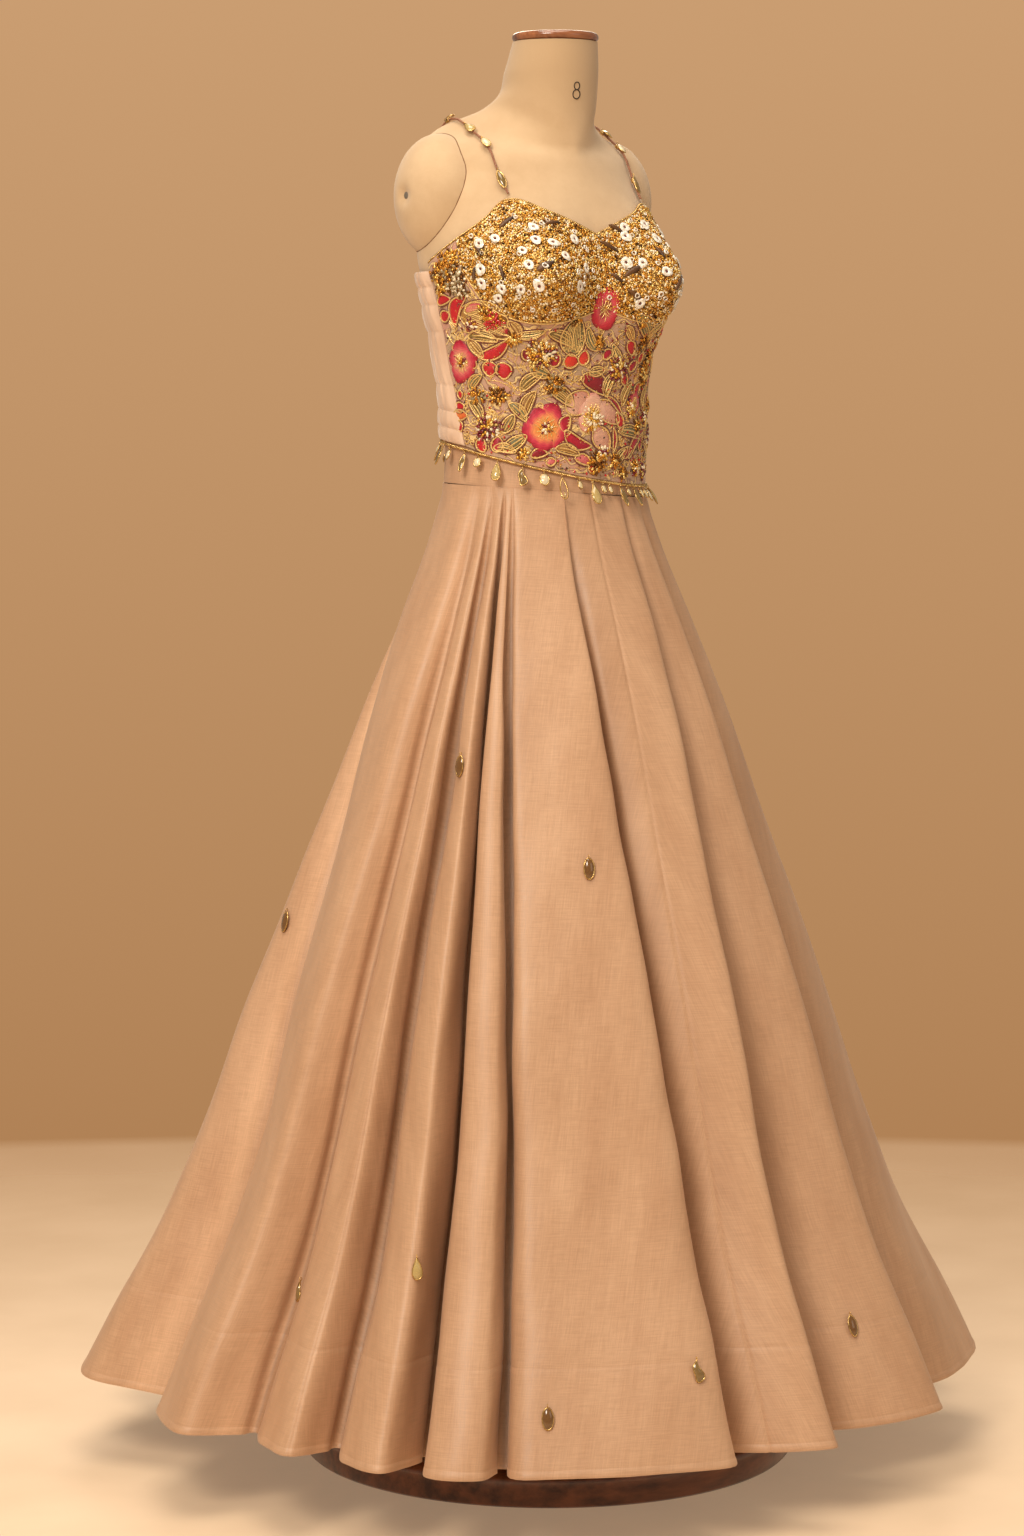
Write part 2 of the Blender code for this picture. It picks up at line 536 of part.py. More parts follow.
def skirt_rings(rows):
    """The skirt's outer surface, row by row from the waist: each ring is a closed smooth curve through every
    fold's valley, left crown and right crown. Angles go from their waist to their hem values, and depths grow."""
    fold = {name: column(FOLDS, FOLD_COLUMNS, name) for name in FOLD_COLUMNS}
    rows = np.asarray(rows, float)[:, None]
    grown, settled = rows**FOLD_GROWTH, 1 - (1 - rows) ** TURN_GROWTH

    def turns(name):
        across = fold["left"] if name == "left_crown" else fold["right"]
        across = 0 if name == "valley" else across
        ends = []
        for place in ("waist", "hem"):
            gap = (np.roll(fold[place], -1) - fold[place]) % 360
            ends.append(fold[place] + gap * across)
        return np.radians(ends[0] + (ends[1] - ends[0]) * settled)

    names = ("valley", "left_crown", "right_crown")
    count = 3 * len(FOLDS)
    turn = np.stack([turns(name) for name in names], axis=-1).reshape(len(rows), count)
    at_hem = np.stack([fold[name] for name in names], axis=-1).reshape(count)
    outline = np.stack([fold["left_crown"]] * 3, axis=-1).reshape(count)
    dip = outline - at_hem
    height = band_line(turn) + (HEM_Z - band_line(turn)) * rows
    heights, radii = zip(*SKIRT_PROFILE)
    top = waist_radius(turn)
    swell = (outline - radii[0]) * rows**1.5
    radius = smooth(height, heights, radii) + (top - radii[-1]) * (1 - rows) ** 3 + swell - dip * grown
    centre = np.array(WAIST_CENTRE) + (np.array(HEM_CENTRE) - WAIST_CENTRE) * rows
    lift = HEM_LIFT * (at_hem - MEAN_HEM_RADIUS) * rows**3
    plan = np.stack([centre[:, :1] + radius * np.sin(turn), centre[:, 1:] - radius * np.cos(turn)], axis=-1)
    control = np.concatenate([plan, (height + lift)[..., None]], axis=-1)
    return clear_of_form(np.einsum("ac,rcx->rax", ring_weights(count), control), centre)


def ring_weights(count):
    """Catmull-Rom weights of a closed curve's samples on its control points."""
    steps = (STEPS_TO_LEFT, STEPS_ACROSS, STEPS_TO_VALLEY)
    weights = []
    for point in range(count):
        for t in np.arange(steps[point % 3]) / steps[point % 3]:
            row = np.zeros(count)
            cubic = (-t + 2 * t**2 - t**3, 2 - 5 * t**2 + 3 * t**3, t + 4 * t**2 - 3 * t**3, t**3 - t**2)
            for shift, weight in zip((-1, 0, 1, 2), cubic):
                row[(point + shift) % count] += weight / 2
            weights.append(row)
    return np.array(weights)


def polar_of_form(height, away, centre):
    """The form's radius about this centre, as a function of the turn angle about it."""
    turns = np.radians(np.arange(0, 360, 2.0))
    ring = worn(turns, height(turns), away)
    about = np.arctan2(ring[:, 0] - centre[0], centre[1] - ring[:, 1])
    radius = np.hypot(ring[:, 0] - centre[0], ring[:, 1] - centre[1])
    return lambda turn: np.interp(turn, about, radius, period=2 * np.pi)


def waist_turn(points):
    """The waist section's own turn angle of these points round it."""
    waist = dict(zip(FORM_COLUMNS, next(row for row in FORM_SECTIONS if row[0] == WAIST_SECTION)))
    ahead = (waist["middle"] - points[:, 1]) / (waist["middle"] - waist["front"])
    return np.arctan2(points[:, 0] / waist["half_width"], ahead)


def waist_radius(turn):
    return polar_of_form(band_line, BAND_LOW_AWAY + CLOTH_WALL, WAIST_CENTRE)(turn)


def clear_of_form(points, centre):
    """Moves out the points that would touch the form's hips."""
    for row, middle in zip(points, centre):
        height = row[:, 2].mean()
        if height < FORM_SECTIONS[0][0]:
            break
        least = polar_of_form(lambda turn: np.full(turn.shape, height), FORM_CLEARANCE, middle)
        turn = np.arctan2(row[:, 0] - middle[0], middle[1] - row[:, 1])
        radius = np.hypot(row[:, 0] - middle[0], row[:, 1] - middle[1])
        out = np.maximum(radius, least(turn)) / radius
        row[:, :2] = middle + (row[:, :2] - middle) * out[:, None]
    return points


def ring_normals(points):
    """Outward normals of a grid of rings, rows going down."""
    along = np.roll(points, -1, axis=1) - np.roll(points, 1, axis=1)
    down = np.gradient(points, axis=0)
    normal = np.cross(down, along)
    return normal / np.linalg.norm(normal, axis=-1, keepdims=True)


def make_skirt(parts):
    """The gores: runs of the rings' columns, with a seam's gap between them and below the waistband."""
    outer = skirt_rings(SKIRT_ROWS)
    outer[0, :, 2] = band_line(waist_turn(outer[0])) - SEAM_GAP
    normals = ring_normals(outer)
    inner = outer - normals * SKIRT_WALL
    steps = np.cumsum([0] + [STEPS_TO_LEFT, STEPS_ACROSS, STEPS_TO_VALLEY] * len(FOLDS))
    total = outer.shape[1]
    starts = [steps[point] for _, point in GORES]
    for (name, _), start, end in zip(GORES, starts, starts[1:] + [starts[0] + total]):
        columns = np.arange(start, end + 1) % total
        walls = []
        for grid in (outer, inner):
            piece = grid[:, columns].copy()
            for end_column, beside in ((0, 1), (-1, -2)):
                step = piece[:, beside] - piece[:, end_column]
                step /= np.linalg.norm(step, axis=-1, keepdims=True)
                piece[:, end_column] += step * SEAM_GAP / 2
            walls.append(piece[::-1])
        wall("skirt_gore_" + name, walls[0], walls[1], parts, "skirt_cloth")
    return outer


def make_skirt_charms(outer, parts):
    """Drops that hang flat on the skirt, each found by looking in at the skirt from its turn angle."""
    rows, columns = outer.shape[:2]
    numbers = np.arange(rows * columns).reshape(rows, columns)
    numbers = np.hstack([numbers, numbers[:, :1]])
    faces = [face for row in range(rows - 1) for face in strip(numbers[row + 1], numbers[row])]
    tree = BVHTree.FromPolygons(outer.reshape(-1, 3).tolist(), faces)
    for number, (turn, height) in enumerate(SKIRT_CHARMS, start=1):
        out = Vector((math.sin(math.radians(turn)), -math.cos(math.radians(turn)), 0.0))
        hit, normal, _, _ = tree.ray_cast(out + Vector((0.0, 0.0, height)), -out)
        normal = normal if normal.dot(out) > 0 else -normal
        shape = bmesh.new()
        size = (CHARM_LENGTH, CHARM_WIDTH, CHARM_THICKNESS)
        middle = hit + normal * (CHARM_THICKNESS / 2 + CHARM_GAP)
        down = Vector((0.0, 0.0, -1.0))
        bead(shape, middle, down - normal * down.dot(normal), normal, size)
        mesh = bpy.data.meshes.new(f"skirt_drop_{number:02d}")
        shape.to_mesh(mesh)
        shape.free()
        mesh.shade_smooth()
        add_object(mesh.name, mesh, parts, "gold")


def main():
    clear_scene()
    parts, cutters = collection("gown_on_dress_form"), collection("cutters")
    make_stand(parts)
    torso = make_form(parts)
    form_cutter = hide_cutter(form_body("shoulder_seat", SHOULDER_SEAT, cutters))
    for name, side in (("right", -1), ("left", 1)):
        make_shoulder("form_shoulder_" + name, side, form_cutter, parts, cutters)
        make_cup("bodice_cup_" + name, side, parts)
        make_strap("strap_" + name, side, torso, parts, cutters)
    make_front(parts)
    make_back(parts)
    make_binding(parts)
    make_hem_braid(parts, cutters)
    make_band(parts)
    make_skirt_charms(make_skirt(parts), parts)


main()
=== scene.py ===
"""Embroidered sweetheart bodice and flared skirt on a limbless dress form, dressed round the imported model.

Metres, +Z up. A turn angle is 0 at the front (-Y) and grows toward +X, the form's own left. Grids of points
have rows that go up and columns that go round with the turn angle.
"""

import math

import bmesh
import bpy
import numpy as np
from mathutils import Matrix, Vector


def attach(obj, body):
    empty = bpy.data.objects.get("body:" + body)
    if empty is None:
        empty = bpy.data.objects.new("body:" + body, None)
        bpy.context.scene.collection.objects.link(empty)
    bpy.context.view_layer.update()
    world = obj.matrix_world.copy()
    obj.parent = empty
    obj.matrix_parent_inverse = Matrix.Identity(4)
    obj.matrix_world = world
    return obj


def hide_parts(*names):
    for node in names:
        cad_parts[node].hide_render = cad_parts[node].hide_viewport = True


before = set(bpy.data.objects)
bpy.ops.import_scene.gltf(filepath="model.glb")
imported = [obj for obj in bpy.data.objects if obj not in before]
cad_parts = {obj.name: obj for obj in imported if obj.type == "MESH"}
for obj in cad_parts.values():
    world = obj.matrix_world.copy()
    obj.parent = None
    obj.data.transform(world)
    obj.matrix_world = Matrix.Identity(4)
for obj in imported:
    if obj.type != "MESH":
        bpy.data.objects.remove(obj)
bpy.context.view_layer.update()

# ---------------------------------------------------------------- camera
# A long lens at bust height, from the form's right front, tipped down a little.
CAMERA_TURN, CAMERA_STAND_TURN, CAMERA_TIP = 35.46, 36.0, 0.0936
CAMERA_AWAY, CAMERA_HEIGHT = 4.2, 1.1458
SENSOR_SIDE, FOCAL_PIXELS, FRAME_PIXELS = 36.0, 3851.1, 1536

lens = bpy.data.cameras.new("lens")
lens.sensor_width = SENSOR_SIDE
lens.lens = SENSOR_SIDE * FOCAL_PIXELS / FRAME_PIXELS
camera = bpy.data.objects.new("camera", lens)
stand = math.radians(CAMERA_STAND_TURN)
camera.location = (-math.sin(stand) * CAMERA_AWAY, -math.cos(stand) * CAMERA_AWAY, CAMERA_HEIGHT)
camera.rotation_euler = (math.pi / 2 - CAMERA_TIP, 0.0, -math.radians(CAMERA_TURN))
bpy.context.scene.collection.objects.link(camera)
bpy.context.scene.camera = camera

# ---------------------------------------------------------------- studio
# A pale floor whose far rim fades into a plain tan surround, with large soft lights in front, overhead and behind.
FLOOR_RADIUS, FLOOR_FADE, FLOOR_STEPS, FLOOR_CENTRE = 5.1, 1.6, 256, (-1.92, -2.65)
FLOOR_GLOW = (1.0, 0.72, 0.47, 1)
FLOOR_COLOUR, FLOOR_SHADE = (0.70, 0.52, 0.35, 1), (0.62, 0.45, 0.29, 1)
BACKDROP_LOW, BACKDROP_HIGH, BACKDROP_RISE = (0.43, 0.218, 0.090, 1), (0.60, 0.345, 0.17, 1), (-0.20, 0.12)
AMBIENT, AMBIENT_STRENGTH = (1.0, 0.84, 0.66), 0.34
LIGHTS = (
    ("key_light", (-3.0, -1.9, 3.1), 0.75, 1.4, 70.0, (1.0, 0.90, 0.77)),
    ("top_light", (-0.6, -0.4, 4.2), 0.75, 2.2, 86.0, (1.0, 0.90, 0.77)),
    ("bodice_light", (-2.3, -1.2, 2.5), 1.25, 0.9, 20.0, (1.0, 0.92, 0.80)),
    ("fill_light", (1.2, -3.6, 2.0), 0.75, 2.0, 12.0, (1.0, 0.89, 0.75)),
    ("back_light", (1.6, 2.6, 3.0), 0.75, 1.6, 40.0, (1.0, 0.88, 0.72)),
)


def seen(*colour):
    """A colour as the eye reads it, 0 to 255, as the linear light that shaders work in."""
    share = np.array(colour) / 255
    return (*np.where(share < 0.04045, share / 12.92, ((share + 0.055) / 1.055) ** 2.4).tolist(), 1.0)


def grid_faces(rows, columns, around=False):
    """Quads over a grid of numbered points, row by row. around joins the last column to the first."""
    number = np.arange(rows * columns).reshape(rows, columns)
    if around:
        number = np.hstack([number, number[:, :1]])
    corners = (number[:-1, :-1], number[:-1, 1:], number[1:, 1:], number[1:, :-1])
    return np.stack(corners, axis=-1).reshape(-1, 4)


def make_piece(name, points, faces, finish, pattern=None, tones=None, sharp=50.0):
    """A mesh object from points and faces. pattern is each face corner's place on the cloth, in metres, and
    tones is each point's own colour, or on the skirt's gores a painted shade and highlight. Coinciding points are
    merged, so that poles close."""
    mesh = bpy.data.meshes.new(name)
    mesh.from_pydata(np.asarray(points, float).reshape(-1, 3).tolist(), [], np.asarray(faces).tolist())
    if pattern is not None:
        layer = mesh.uv_layers.new(name="pattern")
        layer.data.foreach_set("uv", np.asarray(pattern, np.float32).ravel())
    if tones is not None:
        colours = mesh.attributes.new("tone", "FLOAT_COLOR", "POINT")
        colours.data.foreach_set("color", np.asarray(tones, np.float32).ravel())
    shape = bmesh.new()
    shape.from_mesh(mesh)
    bmesh.ops.remove_doubles(shape, verts=shape.verts, dist=1e-6)
    bmesh.ops.recalc_face_normals(shape, faces=shape.faces)
    shape.to_mesh(mesh)
    shape.free()
    mesh.shade_smooth()
    mesh.set_sharp_from_angle(angle=math.radians(sharp))
    mesh.materials.append(finish)
    piece = bpy.data.objects.new(name, mesh)
    bpy.context.scene.collection.objects.link(piece)
    return piece


def new_finish(name, colour, roughness, **sockets):
    """A material with a Principled shader. sockets are its other constants, with _ for each space."""
    finish = bpy.data.materials.new(name)
    finish.use_nodes = True
    shader = finish.node_tree.nodes["Principled BSDF"]
    shader.inputs["Base Color"].default_value = colour
    shader.inputs["Roughness"].default_value = roughness
    for socket, value in sockets.items():
        shader.inputs[socket.replace("_", " ")].default_value = value
    return finish


def add_node(finish, kind, feeds=(), **settings):
    """A shader node with these settings. feeds gives inputs by name or number: a constant, or another's output."""
    made = finish.node_tree.nodes.new("ShaderNode" + kind)
    for setting, value in settings.items():
        setattr(made, setting, value)
    for socket, value in dict(feeds).items():
        if isinstance(value, bpy.types.NodeSocket):
            finish.node_tree.links.new(value, made.inputs[socket])
        else:
            made.inputs[socket].default_value = value
    return made


def feed_shader(finish, **feeds):
    shader = finish.node_tree.nodes["Principled BSDF"]
    for socket, output in feeds.items():
        finish.node_tree.links.new(output, shader.inputs[socket.replace("_", " ")])


def place(finish, source="Object", scale=(1.0, 1.0, 1.0)):
    """Where a point is, on the piece or on its cloth pattern, times scale."""
    spot = add_node(finish, "TexCoord").outputs[source]
    return add_node(finish, "Mapping", {"Vector": spot, "Scale": scale}).outputs["Vector"]


def cloud(finish, spot, scale, detail=3.0, roughness=0.5):
    """Soft noise from 0 to 1 with scale patches to a metre."""
    feeds = {"Vector": spot, "Scale": scale, "Detail": detail, "Roughness": roughness}
    return add_node(finish, "TexNoise", feeds).outputs["Fac"]


def tint(finish, factor, *stops):
    """A colour for each value of factor: stops are places from 0 to 1 with their colours."""
    ramp = add_node(finish, "ValToRGB", {"Fac": factor})
    while len(ramp.color_ramp.elements) < len(stops):
        ramp.color_ramp.elements.new(0.5)
    for element, (at, colour) in zip(ramp.color_ramp.elements, stops):
        element.position, element.color = at, colour
    return ramp.outputs["Color"]


def relief(finish, height, depth, strength=1.0, over=None):
    """A bump of this depth in metres, over another bump."""
    feeds = {"Height": height, "Distance": depth, "Strength": strength}
    if over is not None:
        feeds["Normal"] = over
    return add_node(finish, "Bump", feeds).outputs["Normal"]


def math_node(finish, operation, first, second=0.0):
    return add_node(finish, "Math", {0: first, 1: second}, operation=operation).outputs[0]


def blend_colours(finish, factor, first, second, mode="MIX"):
    """first with second laid over it by factor."""
    mix = finish.node_tree.nodes.new("ShaderNodeMix")
    mix.data_type, mix.blend_type = "RGBA", mode
    for socket, value in ((mix.inputs["Factor"], factor), (mix.inputs[6], first), (mix.inputs[7], second)):
        if isinstance(value, bpy.types.NodeSocket):
            finish.node_tree.links.new(value, socket)
        else:
            socket.default_value = value
    return mix.outputs[2]


# The floor glows a little of its own, FLOOR_GLOW at strength 0.24: painted light that lifts the shadows on it.
floor_finish = new_finish("studio_floor", FLOOR_COLOUR, 0.55, Emission_Color=FLOOR_GLOW, Emission_Strength=0.24)
floor_spot = place(floor_finish)
feed_shader(floor_finish, Base_Color=tint(floor_finish, cloud(floor_finish, floor_spot, 4.5, 7),
                                          (0.35, FLOOR_SHADE), (0.65, FLOOR_COLOUR)))
off_centre = add_node(floor_finish, "VectorMath", {0: floor_spot, 1: (*FLOOR_CENTRE, 0.0)}, operation="DISTANCE")
to_rim = math_node(floor_finish, "SUBTRACT", FLOOR_RADIUS, off_centre.outputs["Value"])
feed_shader(floor_finish, Alpha=tint(floor_finish, math_node(floor_finish, "DIVIDE", to_rim, FLOOR_FADE),
                                    (0.0, (0, 0, 0, 1)), (0.05, (0.28, 0.28, 0.28, 1)), (1.0, (1, 1, 1, 1))))
rim = np.linspace(0, 2 * np.pi, FLOOR_STEPS, endpoint=False)
rings = np.array([0.0, 0.5, 1.0])[:, None] * FLOOR_RADIUS
floor_points = np.stack([FLOOR_CENTRE[0] + rings * np.cos(rim), FLOOR_CENTRE[1] + rings * np.sin(rim),
                         np.zeros((3, FLOOR_STEPS))], axis=-1)
floor = make_piece("studio_floor", floor_points, grid_faces(3, FLOOR_STEPS, True), floor_finish)

surround = bpy.data.worlds.new("surround")
surround.use_nodes = True
nodes, links = surround.node_tree.nodes, surround.node_tree.links
facing_up = nodes.new("ShaderNodeSeparateXYZ")
links.new(nodes.new("ShaderNodeTexCoord").outputs["Generated"], facing_up.inputs["Vector"])
rise = nodes.new("ShaderNodeMapRange")
rise.inputs["From Min"].default_value, rise.inputs["From Max"].default_value = BACKDROP_RISE
links.new(facing_up.outputs["Z"], rise.inputs["Value"])
backdrop = nodes.new("ShaderNodeMix")
backdrop.data_type = "RGBA"
backdrop.inputs[6].default_value, backdrop.inputs[7].default_value = BACKDROP_LOW, BACKDROP_HIGH
links.new(rise.outputs["Result"], backdrop.inputs["Factor"])
shown = nodes.new("ShaderNodeMix")
shown.data_type = "RGBA"
shown.inputs[6].default_value = tuple(AMBIENT_STRENGTH * channel for channel in AMBIENT[:3]) + (1.0,)
links.new(nodes.new("ShaderNodeLightPath").outputs["Is Camera Ray"], shown.inputs["Factor"])
links.new(backdrop.outputs[2], shown.inputs[7])
links.new(shown.outputs[2], nodes["Background"].inputs["Color"])
bpy.context.scene.world = surround
bpy.context.scene.view_settings.view_transform = "Standard"
for name, spot, aim, size, power, colour in LIGHTS:
    light = bpy.data.lights.new(name, "AREA")
    light.size, light.energy, light.color = size, power, colour
    stand_light = bpy.data.objects.new(name, light)
    stand_light.location = spot
    stand_light.rotation_euler = (Vector((0.0, 0.0, aim)) - Vector(spot)).to_track_quat("-Z", "Y").to_euler()
    bpy.context.scene.collection.objects.link(stand_light)

# ---------------------------------------------------------------- base and pole
# A turned wooden disc, stained dark and varnished, with a metal pole screwed into its middle.
BASE_RADIUS, BASE_HEIGHT, BASE_ROUNDING, BASE_STEPS = 0.270, 0.038, 0.012, 160
BASE_DARK, BASE_LIGHT = (0.07, 0.020, 0.008, 1), (0.24, 0.078, 0.030, 1)


def turned(profile, steps, centre=(0.0, 0.0)):
    """A turned shape: every (radius, height) of the profile, from its underside up, spun round a vertical line:
    (centre + radius cos a, centre + radius sin a, height)."""
    radius, height = np.array(profile, float).T[:, :, None]
    angle = np.linspace(0, 2 * np.pi, steps, endpoint=False)
    points = np.stack(np.broadcast_arrays(centre[0] + radius * np.cos(angle), centre[1] + radius * np.sin(angle),
                                          height), axis=-1)
    return points, grid_faces(len(profile), steps, True)


def wood_finish(name, dark, light, ring_scale, shine):
    """Stained and varnished wood: long streaks across the disc, darker and lighter."""
    finish = new_finish(name, dark, shine, Coat_Weight=0.5, Coat_Roughness=0.12)
    spot = place(finish, scale=(1.0, ring_scale, ring_scale))
    streak = cloud(finish, spot, 9.0, 6, 0.6)
    feed_shader(finish, Base_Color=tint(finish, streak, (0.36, dark), (0.64, light)),
                Normal=relief(finish, streak, 0.0006, 0.5))
    return finish


base_edge = [(BASE_RADIUS - BASE_ROUNDING * (1 - math.cos(a)), BASE_HEIGHT - BASE_ROUNDING * (1 - math.sin(a)))
             for a in np.linspace(0, math.pi / 2, 9)]
base_profile = [(0, 0), (BASE_RADIUS - 0.003, 0), (BASE_RADIUS, 0.003), *base_edge, (0.2, BASE_HEIGHT), (0, BASE_HEIGHT)]
base = make_piece("wooden_base", *turned(base_profile, BASE_STEPS),
                  wood_finish("stained_base", BASE_DARK, BASE_LIGHT, 7.0, 0.28))
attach(base, "root")
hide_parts("form_base")

pole_finish = new_finish("pole_steel", (0.30, 0.28, 0.25, 1), 0.32, Metallic=1.0)
pole_scratch = cloud(pole_finish, place(pole_finish, scale=(1.0, 1.0, 0.03)), 900.0, 2)
feed_shader(pole_finish, Normal=relief(pole_finish, pole_scratch, 0.00008),
            Roughness=add_node(pole_finish, "MapRange", {"Value": pole_scratch, "To Min": 0.25, "To Max": 0.45}).outputs[0])
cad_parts["form_pole"].material_slots[0].material = pole_finish

# ---------------------------------------------------------------- dress form
# The form: papier mache from the hips to the neck, covered in cream linen pulled tight. Sections from the hips
# up; each may lie lower at front and back than at its sides, and the bust is added as two rounded mounds.
FORM_COLUMNS = ("height", "half_width", "front", "middle", "back", "roundness", "drop_front", "drop_back")
FORM_SECTIONS = np.array((
    (0.720, 0.132, -0.090, 0.008, 0.110, 2.0, 0.000, 0.000),
    (0.780, 0.145, -0.097, 0.010, 0.122, 2.0, 0.000, 0.000),
    (0.850, 0.148, -0.100, 0.012, 0.125, 2.0, 0.000, 0.000),
    (0.920, 0.140, -0.096, 0.010, 0.117, 2.0, 0.000, 0.000),
    (1.000, 0.122, -0.085, 0.008, 0.101, 2.0, 0.000, 0.000),
    (1.060, 0.113, -0.079, 0.008, 0.096, 2.0, 0.000, 0.000),
    (1.110, 0.112, -0.080, 0.009, 0.096, 2.0, 0.000, 0.000),
    (1.160, 0.117, -0.083, 0.010, 0.099, 2.0, 0.000, 0.000),
    (1.210, 0.124, -0.087, 0.013, 0.105, 2.0, 0.000, 0.000),
    (1.260, 0.132, -0.090, 0.021, 0.112, 2.0, 0.000, 0.000),
    (1.300, 0.138, -0.087, 0.030, 0.118, 2.0, 0.000, 0.000),
    (1.330, 0.138, -0.081, 0.036, 0.120, 2.0, 0.000, 0.000),
    (1.360, 0.135, -0.072, 0.042, 0.120, 2.0, 0.000, 0.000),
    (1.395, 0.132, -0.062, 0.050, 0.117, 1.8, 0.008, -0.003),
    (1.430, 0.124, -0.055, 0.054, 0.108, 1.6, 0.024, 0.002),
    (1.447, 0.098, -0.051, 0.056, 0.096, 1.5, 0.029, 0.006),
    (1.464, 0.0625, -0.051, 0.032, 0.078, 1.8, 0.032, 0.008),
    (1.478, 0.0535, -0.052, 0.008, 0.059, 2.0, 0.024, 0.009),
    (1.505, 0.0500, -0.056, -0.005, 0.047, 2.0, 0.004, 0.002),
    (1.535, 0.0455, -0.057, -0.012, 0.0345, 2.0, 0.000, 0.000),
))
BUST_DEPTH, BUST_AT_X, BUST_AT_Z = 0.050, 0.076, 1.278
BUST_WIDTH, BUST_RISE, BUST_FALL = 0.047, 0.056, 0.046
FORM_TUCK, COVERED_TO, BARE_FROM = 0.0020, 1.265, 1.300
FORM_ROWS, FORM_AROUND = 230, 240
LINEN, LINEN_DARK, LINEN_NECK_SHADE = (0.62, 0.435, 0.255, 1), (0.54, 0.36, 0.20, 1), (0.50, 0.335, 0.185, 1)


def smooth(at, known_at, known):
    """A smooth curve through the known values: cubic between two of them, with slopes from their neighbours."""
    known_at, known = np.asarray(known_at, float), np.asarray(known, float)
    slopes = np.gradient(known, known_at)
    at = np.clip(at, known_at[0], known_at[-1])
    low = np.clip(np.searchsorted(known_at, at, side="right") - 1, 0, len(known_at) - 2)
    width = known_at[low + 1] - known_at[low]
    t = (at - known_at[low]) / width
    ends = (1 + 2 * t) * (1 - t) ** 2 * known[low] + t * t * (3 - 2 * t) * known[low + 1]
    return ends + width * (t * (1 - t) ** 2 * slopes[low] + t * t * (t - 1) * slopes[low + 1])


def form_points(turn, height):
    """The form's surface: x = half width * sin(turn)^(2/roundness) and y likewise with cos(turn), from smooth
    curves through the sections; front and back drop by cos(turn)^2; two bells of the bust push it forward."""
    at = {name: smooth(height, FORM_SECTIONS[:, 0], FORM_SECTIONS[:, number])
          for number, name in enumerate(FORM_COLUMNS) if number}
    side, ahead = np.sin(turn), np.cos(turn)
    power = 2 / at["roundness"]
    depth = np.where(ahead > 0, at["middle"] - at["front"], at["back"] - at["middle"])
    x = at["half_width"] * np.sign(side) * np.abs(side) ** power
    y = at["middle"] - depth * np.sign(ahead) * np.abs(ahead) ** power
    z = height - np.where(ahead > 0, at["drop_front"], at["drop_back"]) * ahead**2
    reach = np.where(z > BUST_AT_Z, BUST_RISE, BUST_FALL)
    bust = np.exp(-(((np.abs(x) - BUST_AT_X) / BUST_WIDTH) ** 2) - ((z - BUST_AT_Z) / reach) ** 2)
    bust = BUST_DEPTH * bust * np.clip(ahead, 0, 1) ** 0.5
    return np.stack([x + 0.2 * np.sign(x) * bust, y - bust, z], axis=-1)


def worn_frame(turn, height):
    """Along the turn, up the form and out of it: three unit arrows at each point of the form's surface, from
    the differences of close points."""
    small_turn, small_rise = 0.01, 0.001
    along = form_points(turn + small_turn, height) - form_points(turn - small_turn, height)
    up = form_points(turn, height + small_rise) - form_points(turn, height - small_rise)
    out = np.cross(along, up)
    along, out = (arrow / np.linalg.norm(arrow, axis=-1, keepdims=True) for arrow in (along, out))
    return along, np.cross(out, along), out


def worn(turn, height, away):
    """Points that lie this far outside the dress form, along its surface's normal."""
    turn, height, away = np.broadcast_arrays(np.asarray(turn, float), height, away)
    return form_points(turn, height) + worn_frame(turn, height)[2] * away[..., None]


def linen_finish(name):
    """Tight plain-woven linen: fine crossed threads, a little slub and faint soiling, and a painted shade that darkens
    the neck toward its top.
    """
    finish = new_finish(name, LINEN, 0.85, Sheen_Weight=0.25, Sheen_Roughness=0.6)
    spot = place(finish)
    mottle = cloud(finish, spot, 16.0, 6, 0.65)
    thread = cloud(finish, place(finish, scale=(1.0, 1.0, 6.0)), 700.0, 2)
    cross = cloud(finish, place(finish, scale=(5.0, 5.0, 1.0)), 350.0, 2)
    weave = math_node(finish, "ADD", thread, cross)
    level = add_node(finish, "SeparateXYZ", {"Vector": spot}).outputs["Z"]
    # Painted shade: from 1.44 m to 1.50 m up, the linen darkens toward the neck's colour.
    neck = add_node(finish, "MapRange", {"Value": level, "From Min": 1.44, "From Max": 1.50}).outputs["Result"]
    patch = tint(finish, mottle, (0.30, LINEN_DARK), (0.62, LINEN))
    patch = blend_colours(finish, neck, patch, LINEN_NECK_SHADE)
    shade = tint(finish, weave, (0.35, (0.80, 0.77, 0.72, 1)), (0.62, (1, 1, 1, 1)))
    feed_shader(finish, Base_Color=blend_colours(finish, 1.0, patch, shade, "MULTIPLY"),
                Normal=relief(finish, weave, 0.0003, 0.5))
    return finish


linen = linen_finish("form_linen")
turns = np.linspace(0, 2 * np.pi, FORM_AROUND, endpoint=False)[None, :]
heights = np.linspace(FORM_SECTIONS[0, 0], FORM_SECTIONS[-1, 0], FORM_ROWS)[:, None]
tuck = FORM_TUCK * np.clip((BARE_FROM - heights) / (BARE_FROM - COVERED_TO), 0, 1)
skin = worn(turns, heights, -tuck)
ends = [np.broadcast_to(ring.mean(axis=0), ring.shape)[None] for ring in (skin[0], skin[-1])]
torso_points = np.concatenate([ends[0], skin, ends[1]])
torso = make_piece("linen_torso", torso_points, grid_faces(FORM_ROWS + 2, FORM_AROUND, True), linen)
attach(torso, "root")
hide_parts("form_torso")
bpy.context.view_layer.update()

